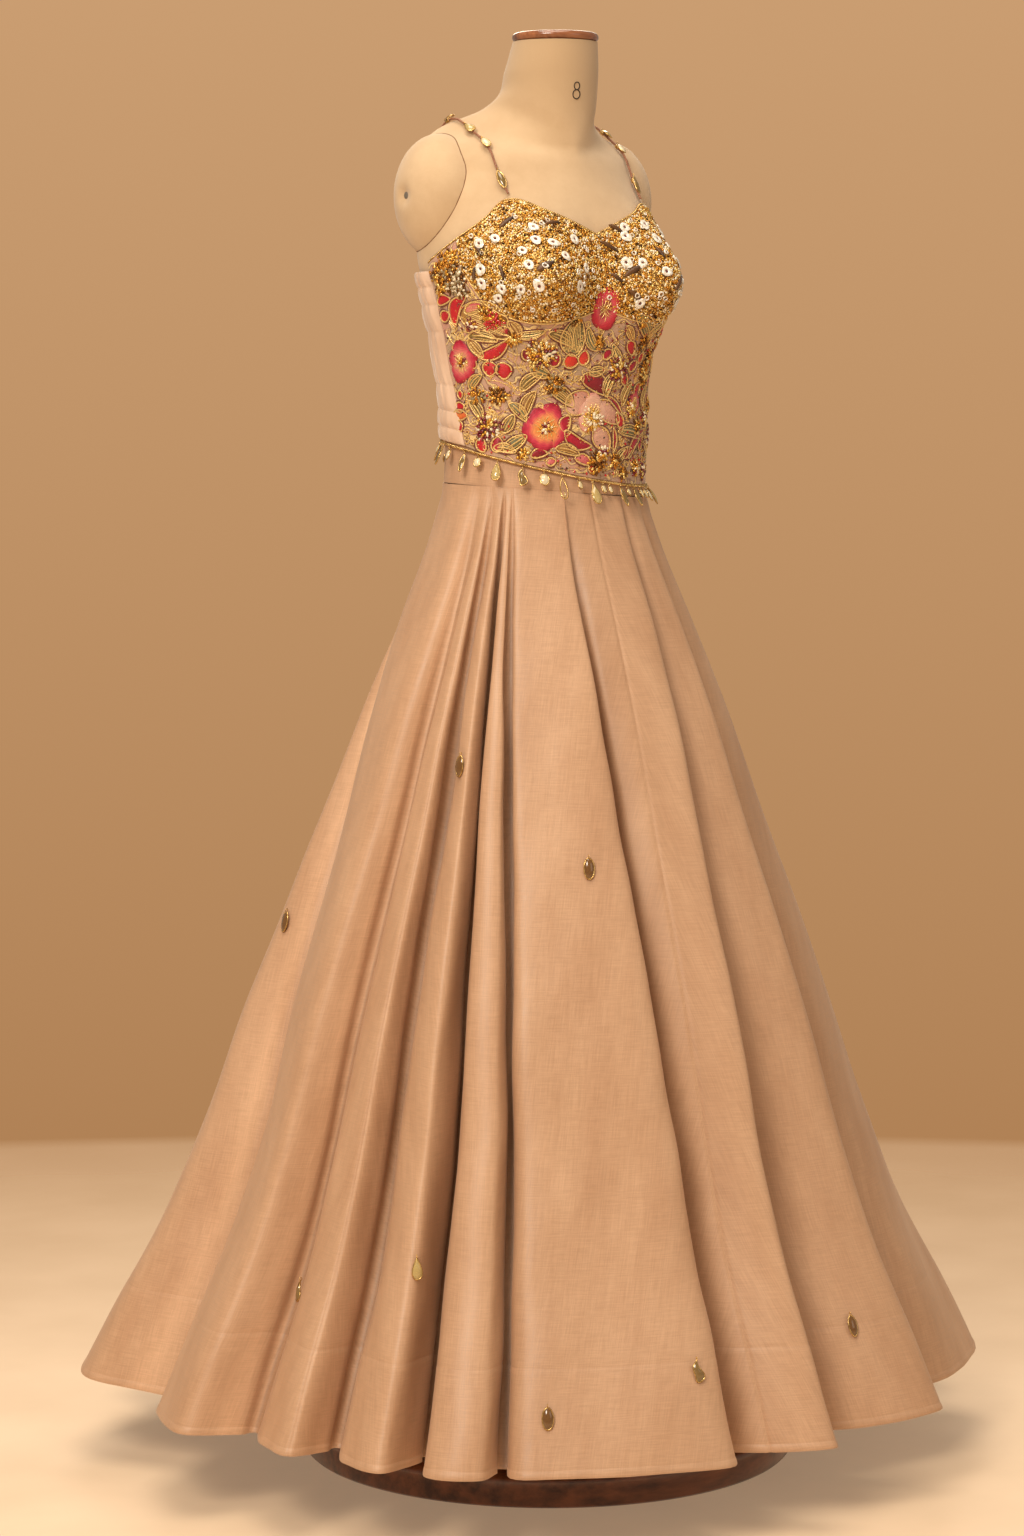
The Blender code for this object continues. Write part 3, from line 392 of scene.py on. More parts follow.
# ---------------------------------------------------------------- shoulder caps
# Each armhole of the form is closed by a domed lid under the same linen, drawn in at a button in its middle.
SHOULDER_AT, SHOULDER_REACH, SHOULDER_RADII = (0.045, 1.370), 0.160, (0.048, 0.052, 0.067)
DIMPLE_DEPTH, DIMPLE_RADIUS, BUTTON_RADIUS = 0.0055, 0.0095, 0.0045
LID_SWEEP, LID_ROWS, LID_AROUND, LID_SEAM_SHADOW_RADIUS = 0.60 * math.pi, 60, 96, 0.0006


def tube(path, out, radius, sides=6, closed=False):
    """A round tube carried along a path: path + radius (cos q * across + sin q * out), across being square to the
    path and to the out arrows. A radius of 0 at an open end closes it."""
    step = np.roll(path, -1, axis=0) - np.roll(path, 1, axis=0) if closed else np.gradient(path, axis=0)
    across = np.cross(step, out)
    across /= np.linalg.norm(across, axis=-1, keepdims=True)
    raised = np.cross(across, step)
    raised /= np.linalg.norm(raised, axis=-1, keepdims=True)
    q = np.linspace(0, 2 * np.pi, sides, endpoint=False)[None, :, None]
    radius = np.broadcast_to(radius, len(path))[:, None, None]
    points = path[:, None] + radius * (np.cos(q) * across[:, None] + np.sin(q) * raised[:, None])
    if closed:
        points = np.concatenate([points, points[:1]])
    return points.reshape(-1, 3), grid_faces(len(points), sides, True)


def shoulder_lid(side):
    """A domed lid: centre + (side * a cos p, b sin p cos q, c sin p sin q) for p from its tip, q round it. The
    tip is drawn in by a bell-shaped dimple, and the rim is closed by a flat back."""
    p = np.linspace(0, LID_SWEEP, LID_ROWS)[:, None]
    q = np.linspace(0, 2 * np.pi, LID_AROUND, endpoint=False)[None, :]
    reach = np.hypot(SHOULDER_RADII[1] * np.sin(p) * np.cos(q), SHOULDER_RADII[2] * np.sin(p) * np.sin(q))
    dimple = DIMPLE_DEPTH * np.exp(-((reach / DIMPLE_RADIUS) ** 2))
    x = side * (SHOULDER_REACH - SHOULDER_RADII[0] + SHOULDER_RADII[0] * np.cos(p) - dimple)
    y = SHOULDER_AT[0] + SHOULDER_RADII[1] * np.sin(p) * np.cos(q)
    z = SHOULDER_AT[1] + SHOULDER_RADII[2] * np.sin(p) * np.sin(q)
    dome = np.stack(np.broadcast_arrays(x, y, z), axis=-1)
    back = np.broadcast_to(dome[-1].mean(axis=0), dome[-1].shape)[None]
    return np.concatenate([dome, back]), grid_faces(LID_ROWS + 1, LID_AROUND, True)


def lid_seam(side):
    """Where the dome enters the torso: round the dome, the first p from its tip that lies inside the torso."""
    seam = []
    for q in np.linspace(0, 2 * np.pi, LID_AROUND, endpoint=False):
        for p in np.linspace(0.25 * math.pi, LID_SWEEP, 120):
            x = side * (SHOULDER_REACH - SHOULDER_RADII[0] + SHOULDER_RADII[0] * math.cos(p))
            y = SHOULDER_AT[0] + SHOULDER_RADII[1] * math.sin(p) * math.cos(q)
            z = SHOULDER_AT[1] + SHOULDER_RADII[2] * math.sin(p) * math.sin(q)
            hit, spot, _, _ = torso.ray_cast(Vector((side * 0.3, y, z)), Vector((-side, 0.0, 0.0)))
            if hit and abs(spot.x) >= abs(x):
                break
        seam.append((x, y, z))
    return np.array(seam)


# A thin dark tube round each lid where it enters the torso: a painted shadow in the crease there.
lid_seam_shadow_finish = new_finish("lid_seam_shadow", seen(120, 82, 50), 0.9)
button_finish = new_finish("button_grey", (0.20, 0.17, 0.14, 1), 0.5, Metallic=0.3)
for side, word in ((-1, "right"), (1, "left")):
    lid = make_piece(f"shoulder_cap_{word}", *shoulder_lid(side), linen)
    rise = np.linspace(0, math.pi / 2, 6)
    profile = [(0, -0.001)] + list(zip(BUTTON_RADIUS * np.cos(rise), 0.0016 * np.sin(rise)))
    points, faces = turned(profile, 20)
    tip = (side * (SHOULDER_REACH - DIMPLE_DEPTH), *SHOULDER_AT)
    points = np.stack([side * points[..., 2], points[..., 0], points[..., 1]], axis=-1) + tip
    button = make_piece(f"shoulder_button_{word}", points, faces, button_finish)
    seam = lid_seam(side)
    seam_shadow_cord = make_piece(f"shoulder_seam_shadow_{word}", *tube(seam, seam - np.array((side * 0.10, *SHOULDER_AT)),
                                                         LID_SEAM_SHADOW_RADIUS, 6, True), lid_seam_shadow_finish, sharp=80)
    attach(seam_shadow_cord, "root")
    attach(lid, "root")
    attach(button, "root")
    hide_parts(f"form_shoulder_{word}")

# ---------------------------------------------------------------- neck cap
# A turned and varnished wooden lid on the form's open neck, with a shallow moulded rim.
CAP_RADIUS, CAP_TOP, CAP_FOOT, CAP_AT = 0.0465, 1.5445, 1.5353, (0.0, -0.012)
CAP_DARK, CAP_LIGHT = (0.12, 0.030, 0.010, 1), (0.36, 0.13, 0.05, 1)
roll = np.linspace(-math.pi / 2, math.pi / 2, 14)
cap_middle, cap_half = (CAP_TOP + CAP_FOOT) / 2, (CAP_TOP - CAP_FOOT) / 2
cap_rim = list(zip(CAP_RADIUS - cap_half * (1 - np.cos(roll)), cap_middle + cap_half * np.sin(roll)))
cap_profile = [(0, CAP_FOOT), *cap_rim, (CAP_RADIUS - 0.012, CAP_TOP - 0.0012), (0, CAP_TOP - 0.0012)]
neck_cap = make_piece("neck_cap", *turned(cap_profile, 96, CAP_AT),
                      wood_finish("varnished_cap", CAP_DARK, CAP_LIGHT, 8.0, 0.22))
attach(neck_cap, "root")
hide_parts("form_neck_cap")

# ---------------------------------------------------------------- skirt
# Six flared gores of rose-beige satin-faced cloth, seamed, with a narrow turned hem and a facing stitched in
# above it. Each fold starts at a valley and has a left and a right crown: angles at the waist and at the hem,
# radii at the hem, and how far across the fold its crowns are.
SKIRT_THICK, SEAM_GAP = 0.0012, 0.0003
BAND_SEAM_HEIGHT, BAND_FRONT_DROP, BAND_LEFT_DROP = 1.056, 0.0036, 0.0072
BAND_LOW_AWAY, CLOTH_WALL = 0.0024, 0.0016
HEM_Z, HEM_LIFT, MEAN_HEM_RADIUS, HEM_CENTRE = 0.088, 0.10, 0.460, (-0.008, 0.010)
WAIST_CENTRE, WAIST_SECTION, FORM_CLEARANCE = (0.0, 0.0085), 5, 0.0048
FOLD_GROWTH, TURN_GROWTH = 0.9, 2.5
SKIRT_PROFILE = np.array((
    (0.090, 0.495), (0.158, 0.461), (0.267, 0.402), (0.376, 0.357), (0.486, 0.320), (0.595, 0.280),
    (0.705, 0.239), (0.814, 0.2025), (0.923, 0.1625), (0.984, 0.140), (1.057, 0.1195),
))
FOLD_COLUMNS = ("waist", "hem", "valley", "left_crown", "right_crown", "left", "right")
FOLDS = np.array((
    (-150, -138, 0.445, 0.490, 0.500, 0.34, 0.70),
    (-140, -106, 0.420, 0.456, 0.484, 0.36, 0.84),
    (-72, -81, 0.415, 0.440, 0.466, 0.36, 0.84),
    (-64.5, -66, 0.405, 0.456, 0.490, 0.36, 0.85),
    (-58.5, -52, 0.395, 0.486, 0.494, 0.26, 0.80),
    (-54, -40, 0.438, 0.484, 0.478, 0.12, 0.90),
    (-22, -9, 0.385, 0.434, 0.470, 0.40, 0.88),
    (24, 7, 0.370, 0.436, 0.476, 0.42, 0.88),
    (42, 32, 0.378, 0.462, 0.500, 0.40, 0.86),
    (60, 70, 0.430, 0.512, 0.510, 0.32, 0.68),
    (85, 92, 0.440, 0.505, 0.500, 0.34, 0.66),
    (105, 110, 0.430, 0.492, 0.496, 0.30, 0.70),
    (125, 129, 0.435, 0.502, 0.498, 0.34, 0.66),
    (145, 147, 0.425, 0.490, 0.486, 0.30, 0.66),
    (163, 166, 0.440, 0.500, 0.504, 0.32, 0.68),
    (181, 185, 0.430, 0.494, 0.490, 0.32, 0.70),
    (196, 203, 0.435, 0.504, 0.506, 0.32, 0.66),
))
GORES = {
    "right_back": (1, 8), "right_front": (8, 19), "left_front": (19, 26),
    "left_side": (26, 33), "left_back": (33, 43), "centre_back": (43, 52),
}
SKIRT_ROWS, STEPS_TO_POINT = 150, 9
SLIT_DEPTHS = (8, 8, 9, 11, 14, 11, 14, 14, 14, 11, 9, 9, 9, 9, 9, 9, 9)
SLIT_WIDTH, SLIT_FROM, SLIT_GROWS, SLIT_COLUMNS = 0.0066, 0.01, 0.33, (0.03, 0.06, 0.10, 0.15, 0.21)
HEM_ROWS = (0.9905, 0.9915, 0.9925, 0.9935, 0.9955, 0.9975, 0.9990, 1.0)
FOLD_SHADE, FOLD_SHADE_WIDTH, CREST_LIGHT, CREST_AT, CREST_WIDTH = 0.31, 0.22, 0.18, 0.88, 0.05
FACING_ROW, HEM_ROLL_ROW, HEM_ROLL = 0.897, 0.9925, 0.0004
SATIN_LIGHT, SATIN_MID, SATIN_DARK = (0.626, 0.392, 0.244, 1), (0.570, 0.345, 0.209, 1), (0.514, 0.298, 0.174, 1)


def band_line(turn):
    """The height of the seam between skirt and waistband: lower at the front and on the form's left."""
    return BAND_SEAM_HEIGHT - BAND_FRONT_DROP * np.cos(turn) - BAND_LEFT_DROP * np.sin(turn)


def form_radius(turn, height, away, centre):
    """How far the form, grown by away, reaches from centre at each turn angle about that centre: its outline at
    that height, read between close points."""
    every = np.radians(np.arange(0, 360, 2.0))
    ring = worn(every, height(every), away)
    about = np.arctan2(ring[:, 0] - centre[0], centre[1] - ring[:, 1])
    radius = np.hypot(ring[:, 0] - centre[0], ring[:, 1] - centre[1])
    return np.interp(turn, about, radius, period=2 * np.pi)


def ring_weights(spots, count):
    """How much each of count control points counts at each spot along a closed smooth curve through them all:
    the cubic whose slope at a point is half the step between its neighbours."""
    t = spots - np.floor(spots)
    cubic = (-t + 2 * t**2 - t**3, 2 - 5 * t**2 + 3 * t**3, t + 4 * t**2 - 3 * t**3, t**3 - t**2)
    weights = np.zeros((len(spots), count))
    for shift, weight in zip((-1, 0, 1, 2), cubic):
        weights[np.arange(len(spots)), (np.floor(spots).astype(int) + shift) % count] += weight / 2
    return weights


def skirt_surface(rows, spots):
    """The skirt's outer side, row 0 at the waist and 1 at the hem, spots numbering the folds' control points.
    Each row is a closed smooth curve through every fold's valley and two crowns. Their angles go from waist to
    hem values as 1 - (1 - row)^2.5, the folds deepen as row^0.9, and the whole swells to the profile's radii."""
    fold = {name: FOLDS[:, number] for number, name in enumerate(FOLD_COLUMNS)}
    rows = np.asarray(rows, float)[:, None]
    grown, settled = rows**FOLD_GROWTH, 1 - (1 - rows) ** TURN_GROWTH
    across = np.stack([0 * fold["left"], fold["left"], fold["right"]], axis=-1)
    gaps = [(np.roll(fold[at], -1) - fold[at]) % 360 for at in ("waist", "hem")]
    at_waist, at_hem = ((fold[at][:, None] + gap[:, None] * across).reshape(-1)
                        for at, gap in zip(("waist", "hem"), gaps))
    turn = np.radians(at_waist + (at_hem - at_waist) * settled)
    radius_at_hem = np.stack([fold[name] for name in ("valley", "left_crown", "right_crown")], -1).reshape(-1)
    outline = np.repeat(fold["left_crown"], 3)
    height = band_line(turn) + (HEM_Z - band_line(turn)) * rows
    heights, radii = SKIRT_PROFILE.T
    top = form_radius(turn, band_line, BAND_LOW_AWAY + CLOTH_WALL, WAIST_CENTRE)
    swell = (outline - radii[0]) * rows**1.5
    radius = smooth(height, heights, radii) + (top - radii[-1]) * (1 - rows) ** 3 + swell
    radius = radius - (outline - radius_at_hem) * grown
    centre = np.array(WAIST_CENTRE) + (np.array(HEM_CENTRE) - WAIST_CENTRE) * rows
    lift = HEM_LIFT * (radius_at_hem - MEAN_HEM_RADIUS) * rows**3
    control = np.stack([centre[:, :1] + radius * np.sin(turn), centre[:, 1:] - radius * np.cos(turn),
                        height + lift], axis=-1)
    points = np.einsum("ac,rcx->rax", ring_weights(spots, control.shape[1]), control)
    for row, middle in zip(points, centre):
        level = row[:, 2].mean()
        if level > FORM_SECTIONS[0, 0]:
            about = np.arctan2(row[:, 0] - middle[0], middle[1] - row[:, 1])
            least = form_radius(about, lambda every: np.full(every.shape, level), FORM_CLEARANCE, middle)
            radius = np.hypot(row[:, 0] - middle[0], row[:, 1] - middle[1])
            row[:, :2] = middle + (row[:, :2] - middle) * (np.maximum(radius, least) / radius)[:, None]
    return points


def grid_normals(points, along_axis=1, up_axis=0):
    """Outward unit normals of a grid: across its columns' step and its rows' step."""
    normal = np.cross(np.gradient(points, axis=along_axis), np.gradient(points, axis=up_axis))
    return normal / np.linalg.norm(normal, axis=-1, keepdims=True)


def cloth_wall(outer, inner, pattern, around=False):
    """A closed wall between two grids: points, faces and every face corner's place on the cloth. pattern holds
    (u, v) in metres for each grid point, with one more column than the grid where the cloth goes all round."""
    rows, columns = outer.shape[:2]
    number = np.arange(rows * columns).reshape(rows, columns)
    spot = np.arange(rows * (columns + around)).reshape(rows, -1)
    if around:
        number = np.hstack([number, number[:, :1]])
    inside = number + rows * columns

    def cells(low, high):
        return np.stack([low[:-1], low[1:], high[1:], high[:-1]], axis=-1)

    faces = [grid_corners(number), grid_corners(inside)[:, ::-1], cells(inside[0], number[0]),
             cells(number[-1], inside[-1])]
    spots = [grid_corners(spot), grid_corners(spot)[:, ::-1], cells(spot[0], spot[0]), cells(spot[-1], spot[-1])]
    if not around:
        faces += [cells(number[:, 0], inside[:, 0]), cells(inside[:, -1], number[:, -1])]
        spots += [cells(spot[:, 0], spot[:, 0]), cells(spot[:, -1], spot[:, -1])]
    points = np.concatenate([outer.reshape(-1, 3), inner.reshape(-1, 3)])
    return points, np.concatenate(faces), pattern.reshape(-1, 2)[np.concatenate(spots).ravel()]


def grid_corners(number):
    return np.stack([number[:-1, :-1], number[:-1, 1:], number[1:, 1:], number[1:, :-1]], axis=-1).reshape(-1, 4)


def cloth_pattern(points):
    """Each grid point's place on the cloth: its way along the row from the row's middle, and its way up."""
    step = np.linalg.norm(np.diff(points, axis=1), axis=-1)
    along = np.concatenate([np.zeros((len(points), 1)), np.cumsum(step, axis=1)], axis=1)
    along -= along[:, along.shape[1] // 2][:, None]
    rise = np.linalg.norm(np.diff(points, axis=0), axis=-1).mean(axis=1)
    up = np.concatenate([[0.0], np.cumsum(rise)])[:, None]
    return np.stack(np.broadcast_arrays(along, up), axis=-1)


def ripple(along, up, seed, count=12, finest=0.045, widest=0.30):
    """Uneven ripples from about -1 to 1: a sum of waves in both directions, longer up the cloth than across it."""
    draw = np.random.default_rng(seed)
    total = 0
    for _ in range(count):
        length = draw.uniform(finest, widest)
        slant, start = draw.normal(0, 0.35), draw.uniform(0, 2 * np.pi)
        total = total + np.sin(2 * np.pi * (along + slant * up) / length + start) * math.sqrt(length / widest)
    return total / math.sqrt(count)


def satin_finish(name):
    """Satin-faced cloth: fine slubbed threads across and along, mottled a little, with a soft sheen, times each point's
    tone: on the gores a painted shade beside each fold's valley and a painted highlight near its crest.
    """
    finish = new_finish(name, SATIN_MID, 0.50, Sheen_Weight=0.16, Sheen_Roughness=0.35,
                        Sheen_Tint=(1.0, 0.80, 0.62, 1), Specular_IOR_Level=0.50)
    mottle = cloud(finish, place(finish, "UV", (1.0, 0.30, 1.0)), 16.0, 7, 0.62)
    slub = cloud(finish, place(finish, "UV", (0.05, 1.0, 1.0)), 760.0, 3, 0.7)
    warp = cloud(finish, place(finish, "UV", (1.0, 0.03, 1.0)), 820.0, 3, 0.7)
    weave = math_node(finish, "MULTIPLY", math_node(finish, "ADD", slub, warp), 0.5)
    patch = tint(finish, mottle, (0.32, SATIN_DARK), (0.50, SATIN_MID), (0.68, SATIN_LIGHT))
    threads = tint(finish, weave, (0.40, (0.86, 0.84, 0.81, 1)), (0.60, (1.05, 1.04, 1.03, 1)))
    crease = cloud(finish, place(finish, "UV", (1.0, 0.45, 1.0)), 7.0, 6, 0.55)
    # Each point's tone: on the gores a painted shade beside each fold's valley and a painted highlight near its crest,
    # white on the waistband.
    painted_fold_tone = add_node(finish, "Attribute", attribute_name="tone").outputs["Color"]
    woven = blend_colours(finish, 0.9, patch, threads, "MULTIPLY")
    feed_shader(finish, Base_Color=blend_colours(finish, 1.0, woven, painted_fold_tone, "MULTIPLY"),
                Roughness=add_node(finish, "MapRange", {"Value": weave, "From Min": 0.4, "From Max": 0.6,
                                                        "To Min": 0.38, "To Max": 0.58}).outputs[0],
                Normal=relief(finish, weave, 0.00035, 0.6, relief(finish, crease, 0.016, 0.22)))
    return finish


satin = satin_finish("skirt_satin")
down = np.unique(np.concatenate([np.linspace(0, 0.99, SKIRT_ROWS), HEM_ROWS, FACING_ROW + np.array((-0.002, 0, 0.002))]))
edge_steps = np.array((0.0, 0.01, 0.025, 0.05, 0.08))
gore_pieces = []
for name, (start, end) in GORES.items():
    inner_spots = np.linspace(start + 0.11, end - 0.11, (end - start) * STEPS_TO_POINT)
    valleys = [valley for valley in range(0, 3 * len(FOLDS) + 1, 3) if start < valley < end]
    beside = [valley + side * step for valley in valleys for side in (-1, 1) for step in SLIT_COLUMNS]
    inner_spots = [spot for spot in inner_spots if all(abs(spot - valley) > 0.23 for valley in valleys)]
    spots = np.unique(np.round(np.concatenate([start + edge_steps, inner_spots, valleys, beside, end - edge_steps[::-1]]), 6))
    spots = spots[(spots >= start) & (spots <= end)]
    surface = skirt_surface(down, spots)[::-1]
    surface[-1, :, 2] -= SEAM_GAP
    pattern = cloth_pattern(surface)
    along, up = pattern[..., 0], pattern[..., 1]
    row = down[::-1][:, None]
    free = np.clip(row / 0.2, 0, 1) ** 1.5
    to_edge = np.minimum(along - along[:, :1], along[:, -1:] - along)
    lift = 0.0020 * ripple(along, up, start) * free * np.clip(to_edge / 0.03, 0, 1)
    lift = lift + 0.0002 * (row > FACING_ROW) - 0.0002 * np.exp(-(((row - FACING_ROW) / 0.0012) ** 2))
    lift = lift + HEM_ROLL * np.clip((row - HEM_ROLL_ROW) / 0.0015, 0, 1) - 0.0002 * np.exp(-(((row - 0.9915) / 0.0008) ** 2))
    for valley in valleys:
        off = along - along[:, np.argmin(np.abs(spots - valley))][:, None]
        depth = SLIT_DEPTHS[valley // 3 % len(FOLDS)] / 1000 * np.clip((row - SLIT_FROM) / SLIT_GROWS, 0, 1) ** 0.8
        lift = lift - depth * np.exp(-((off / SLIT_WIDTH) ** 2))
    lift = lift - 0.0010 * np.exp(-((to_edge / 0.0022) ** 2))
    normals = grid_normals(surface)
    outer = surface + normals * lift[..., None]
    across = (spots % 3 / 3)[None, :]
    # Painted shade and highlight in the cloth's own colour: up to FOLD_SHADE darker beside each fold's valley and up to
    # CREST_LIGHT lighter near its crest, growing in over the top tenth of the skirt.
    painted_fold_light = CREST_LIGHT * np.exp(-(((across - CREST_AT) / CREST_WIDTH) ** 2)) - FOLD_SHADE * np.exp(-across / FOLD_SHADE_WIDTH)
    painted_fold_light = 1 + painted_fold_light * np.clip(row / 0.10, 0, 1)
    tones = np.tile(painted_fold_light.reshape(-1, 1), (2, 4)) ** np.array((1.0, 1.12, 1.2, 0.0))
    points, faces, corners = cloth_wall(outer, outer - normals * SKIRT_THICK, pattern)
    gore = make_piece("skirt_" + name, points, faces, satin, corners, tones)
    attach(gore, "root")
    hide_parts("skirt_gore_" + name)
    gore_pieces.append(gore)

# ---------------------------------------------------------------- waistband
# A straight band of the same satin, sewn to the gores, with the seam pressed down under it.
BAND_HEIGHT, BAND_TOP_AWAY, BAND_SWELL, BAND_ROWS, BAND_AROUND = 0.052, 0.0010, 0.0005, 26, 240


def round_pattern(points):
    """The cloth pattern of a grid that goes all round, with its first column once more at the end."""
    return cloth_pattern(np.concatenate([points, points[:, :1]], axis=1))


turns = np.linspace(0, 2 * np.pi, BAND_AROUND, endpoint=False)[None, :]
share = np.linspace(0, 1, BAND_ROWS)[:, None]
away = BAND_LOW_AWAY + (BAND_TOP_AWAY - BAND_LOW_AWAY) * share
inner = worn(turns, band_line(turns) + BAND_HEIGHT * share, away)
outer = worn(turns, band_line(turns) + BAND_HEIGHT * share, away + CLOTH_WALL - 0.0003 + BAND_SWELL * np.sin(np.pi * share) ** 0.4)
points, faces, pattern = cloth_wall(outer, inner, round_pattern(outer), True)
waistband = make_piece("satin_waistband", points, faces, satin, pattern, np.ones((len(points), 4)))
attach(waistband, "root")
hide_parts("waistband")

# ---------------------------------------------------------------- bodice front
# Skin-toned net over a blush lining, from the seam under the cups to the sloping hem, side seam to side seam.
SIDE_SEAM_TOP, SIDE_SEAM_HEM, SIDE_SEAM_BEND = 88.0, 79.0, (1.100, 1.180)
CUP_END = 68.0
NECKLINE = ((0, 1.326), (12, 1.338), (25, 1.350), (37, 1.361), (42, 1.360), (52, 1.342), (69, 1.319), (88, 1.297))
CUP_LINE = ((0, 1.250), (10, 1.243), (20, 1.238), (33, 1.235), (45, 1.238), (55, 1.247), (62, 1.260), (68, 1.290))
HEM_HEIGHT, HEM_FRONT_DROP, HEM_LEFT_DROP = 1.087, 0.018, 0.018
BODICE_AWAY, HEM_AWAY, EASE_FROM, EASE_TO = 0.0022, 0.0050, 1.120, 1.160
FRONT_ROWS, FRONT_COLUMNS = 90, 150
NET_OLIVE, NET_GROUND, NET_ROSE = (0.34, 0.215, 0.12, 1), (0.50, 0.29, 0.195, 1), (0.56, 0.22, 0.17, 1)
NET_THREAD, NET_SWIRL, NET_LINE_SHADOW = (0.64, 0.47, 0.31, 1), (0.80, 0.56, 0.24, 1), (0.20, 0.075, 0.04, 1)


def hem_line(turn):
    """The bodice's hem: lower at the front and on the form's left."""
    return HEM_HEIGHT - HEM_FRONT_DROP * np.cos(turn) - HEM_LEFT_DROP * np.sin(turn)


def neckline(turn):
    return smooth(np.degrees(np.abs(turn)), *zip(*NECKLINE))


def cup_line(turn):
    return smooth(np.degrees(np.abs(turn)), *zip(*CUP_LINE))


def side_seam(height):
    """The side seam's turn angle: forward of the form's side at the hem, and nearly at its side above."""
    low, high = SIDE_SEAM_BEND
    t = np.clip((height - low) / (high - low), 0, 1)
    return np.radians(SIDE_SEAM_HEM + (SIDE_SEAM_TOP - SIDE_SEAM_HEM) * t)


def ease(height):
    """How far the bodice stands off the form: further out near the hem, where it lies over the waistband."""
    t = np.clip((height - EASE_FROM) / (EASE_TO - EASE_FROM), 0, 1)
    return HEM_AWAY + (BODICE_AWAY - HEM_AWAY) * t * t * (3 - 2 * t)


def net_finish(name):
    """Fine square net over a lining, two crossed sets of threads, with swirling rows of gold chain stitch over it,
    edged by dark brown lines that are partly outline and partly painted shadow of the raised stitch.
    """
    finish = new_finish(name, NET_GROUND, 0.55, Sheen_Weight=0.3, Sheen_Roughness=0.5)
    spot = place(finish, "UV")
    lines = [add_node(finish, "TexWave", {"Vector": spot, "Scale": 160.0, "Distortion": 0.6, "Detail": 1.0},
                      bands_direction=way).outputs["Fac"] for way in ("X", "Y")]
    mesh_lines = math_node(finish, "POWER", math_node(finish, "MAXIMUM", *lines), 3.0)
    patch = tint(finish, cloud(finish, spot, 38.0, 4), (0.34, NET_OLIVE), (0.48, NET_GROUND), (0.66, NET_ROSE))
    rows = add_node(finish, "TexWave", {"Vector": spot, "Scale": 17.0, "Distortion": 16.0, "Detail": 2.0,
                                        "Detail Scale": 1.6}, wave_type="RINGS").outputs["Fac"]
    ground = blend_colours(finish, math_node(finish, "MULTIPLY", mesh_lines, 0.5), patch, NET_THREAD)
    # Dark brown band beside each raised gold row: partly a dark outline, partly a painted shadow of the stitch.
    line = tint(finish, rows, (0.58, (0, 0, 0, 1)), (0.76, (0.85, 0.85, 0.85, 1)), (0.88, (0, 0, 0, 1)))
    thread = tint(finish, rows, (0.87, (0, 0, 0, 1)), (0.93, (0.95, 0.95, 0.95, 1)))
    line_shadowed = blend_colours(finish, line, ground, NET_LINE_SHADOW)
    feed_shader(finish, Base_Color=blend_colours(finish, thread, line_shadowed, NET_SWIRL),
                Normal=relief(finish, thread, 0.0012, 0.8, relief(finish, mesh_lines, 0.0003, 0.6)))
    return finish


half = np.concatenate([np.linspace(0.6, CUP_END, FRONT_COLUMNS), np.linspace(CUP_END + 0.52, SIDE_SEAM_TOP, 40)])
turns = np.radians(np.concatenate([-half[::-1], [0.0], half]))[None, :]
beside = np.degrees(np.abs(turns)) > CUP_END + 0.5
front_top = np.where(beside, neckline(turns), cup_line(turns) - SEAM_GAP)
height = hem_line(turns) + (front_top - hem_line(turns)) * np.linspace(0, 1, FRONT_ROWS)[:, None]
inside, outside = math.radians(CUP_END), math.radians(SIDE_SEAM_TOP)
past = np.maximum(np.abs(turns) - inside, 0) / (outside - inside) * (side_seam(height) - inside)
turn = np.sign(turns) * (np.minimum(np.abs(turns), inside) + past)
inner = worn(turn, height, ease(height))
outer = worn(turn, height, ease(height) + CLOTH_WALL)
points, faces, pattern = cloth_wall(outer, inner, cloth_pattern(outer))
bodice_front = make_piece("net_front", points, faces, net_finish("skin_net"), pattern)
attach(bodice_front, "root")
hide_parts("bodice_front")

# ---------------------------------------------------------------- cups
# Gold cloth moulded over a pad, edge to edge with small gold, bronze and clear beads, and ring sequins on top.
CUP_SEAM_GAP, CUP_AWAY, CUP_ROWS, CUP_COLUMNS = 0.35, 0.0022, 70, 110
GOLD_CLOTH, GOLD_DEEP, GOLD_PALE = (0.50, 0.28, 0.07, 1), (0.20, 0.095, 0.02, 1), (0.82, 0.58, 0.24, 1)


def gold_cloth_finish(name):
    """Metal-thread cloth: a close crumb of gold, bronze and brown."""
    finish = new_finish(name, GOLD_CLOTH, 0.34, Metallic=0.65)
    spot = place(finish)
    crumb = add_node(finish, "TexVoronoi", {"Vector": spot, "Scale": 620.0})
    pick = add_node(finish, "SeparateColor", {"Color": crumb.outputs["Color"]}).outputs[0]
    feed_shader(finish, Base_Color=tint(finish, pick, (0.1, GOLD_DEEP), (0.5, GOLD_CLOTH), (0.9, GOLD_PALE)),
                Normal=relief(finish, crumb.outputs["Distance"], 0.0008, 0.8))
    return finish


gold_cloth = gold_cloth_finish("gold_cloth")
share = np.linspace(0, 1, CUP_ROWS)[:, None]
for side, word in ((-1, "right"), (1, "left")):
    turns = np.radians(np.linspace(CUP_SEAM_GAP, CUP_END - CUP_SEAM_GAP, CUP_COLUMNS))[::side][None, :] * side
    low = cup_line(turns) + SEAM_GAP
    height = low + (neckline(turns) - low) * share
    outer = worn(turns, height, CUP_AWAY + CLOTH_WALL)
    points, faces, pattern = cloth_wall(outer, worn(turns, height, CUP_AWAY), cloth_pattern(outer))
    cup = make_piece(f"gold_cup_{word}", points, faces, gold_cloth, pattern)
    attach(cup, "root")
    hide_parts(f"bodice_cup_{word}")

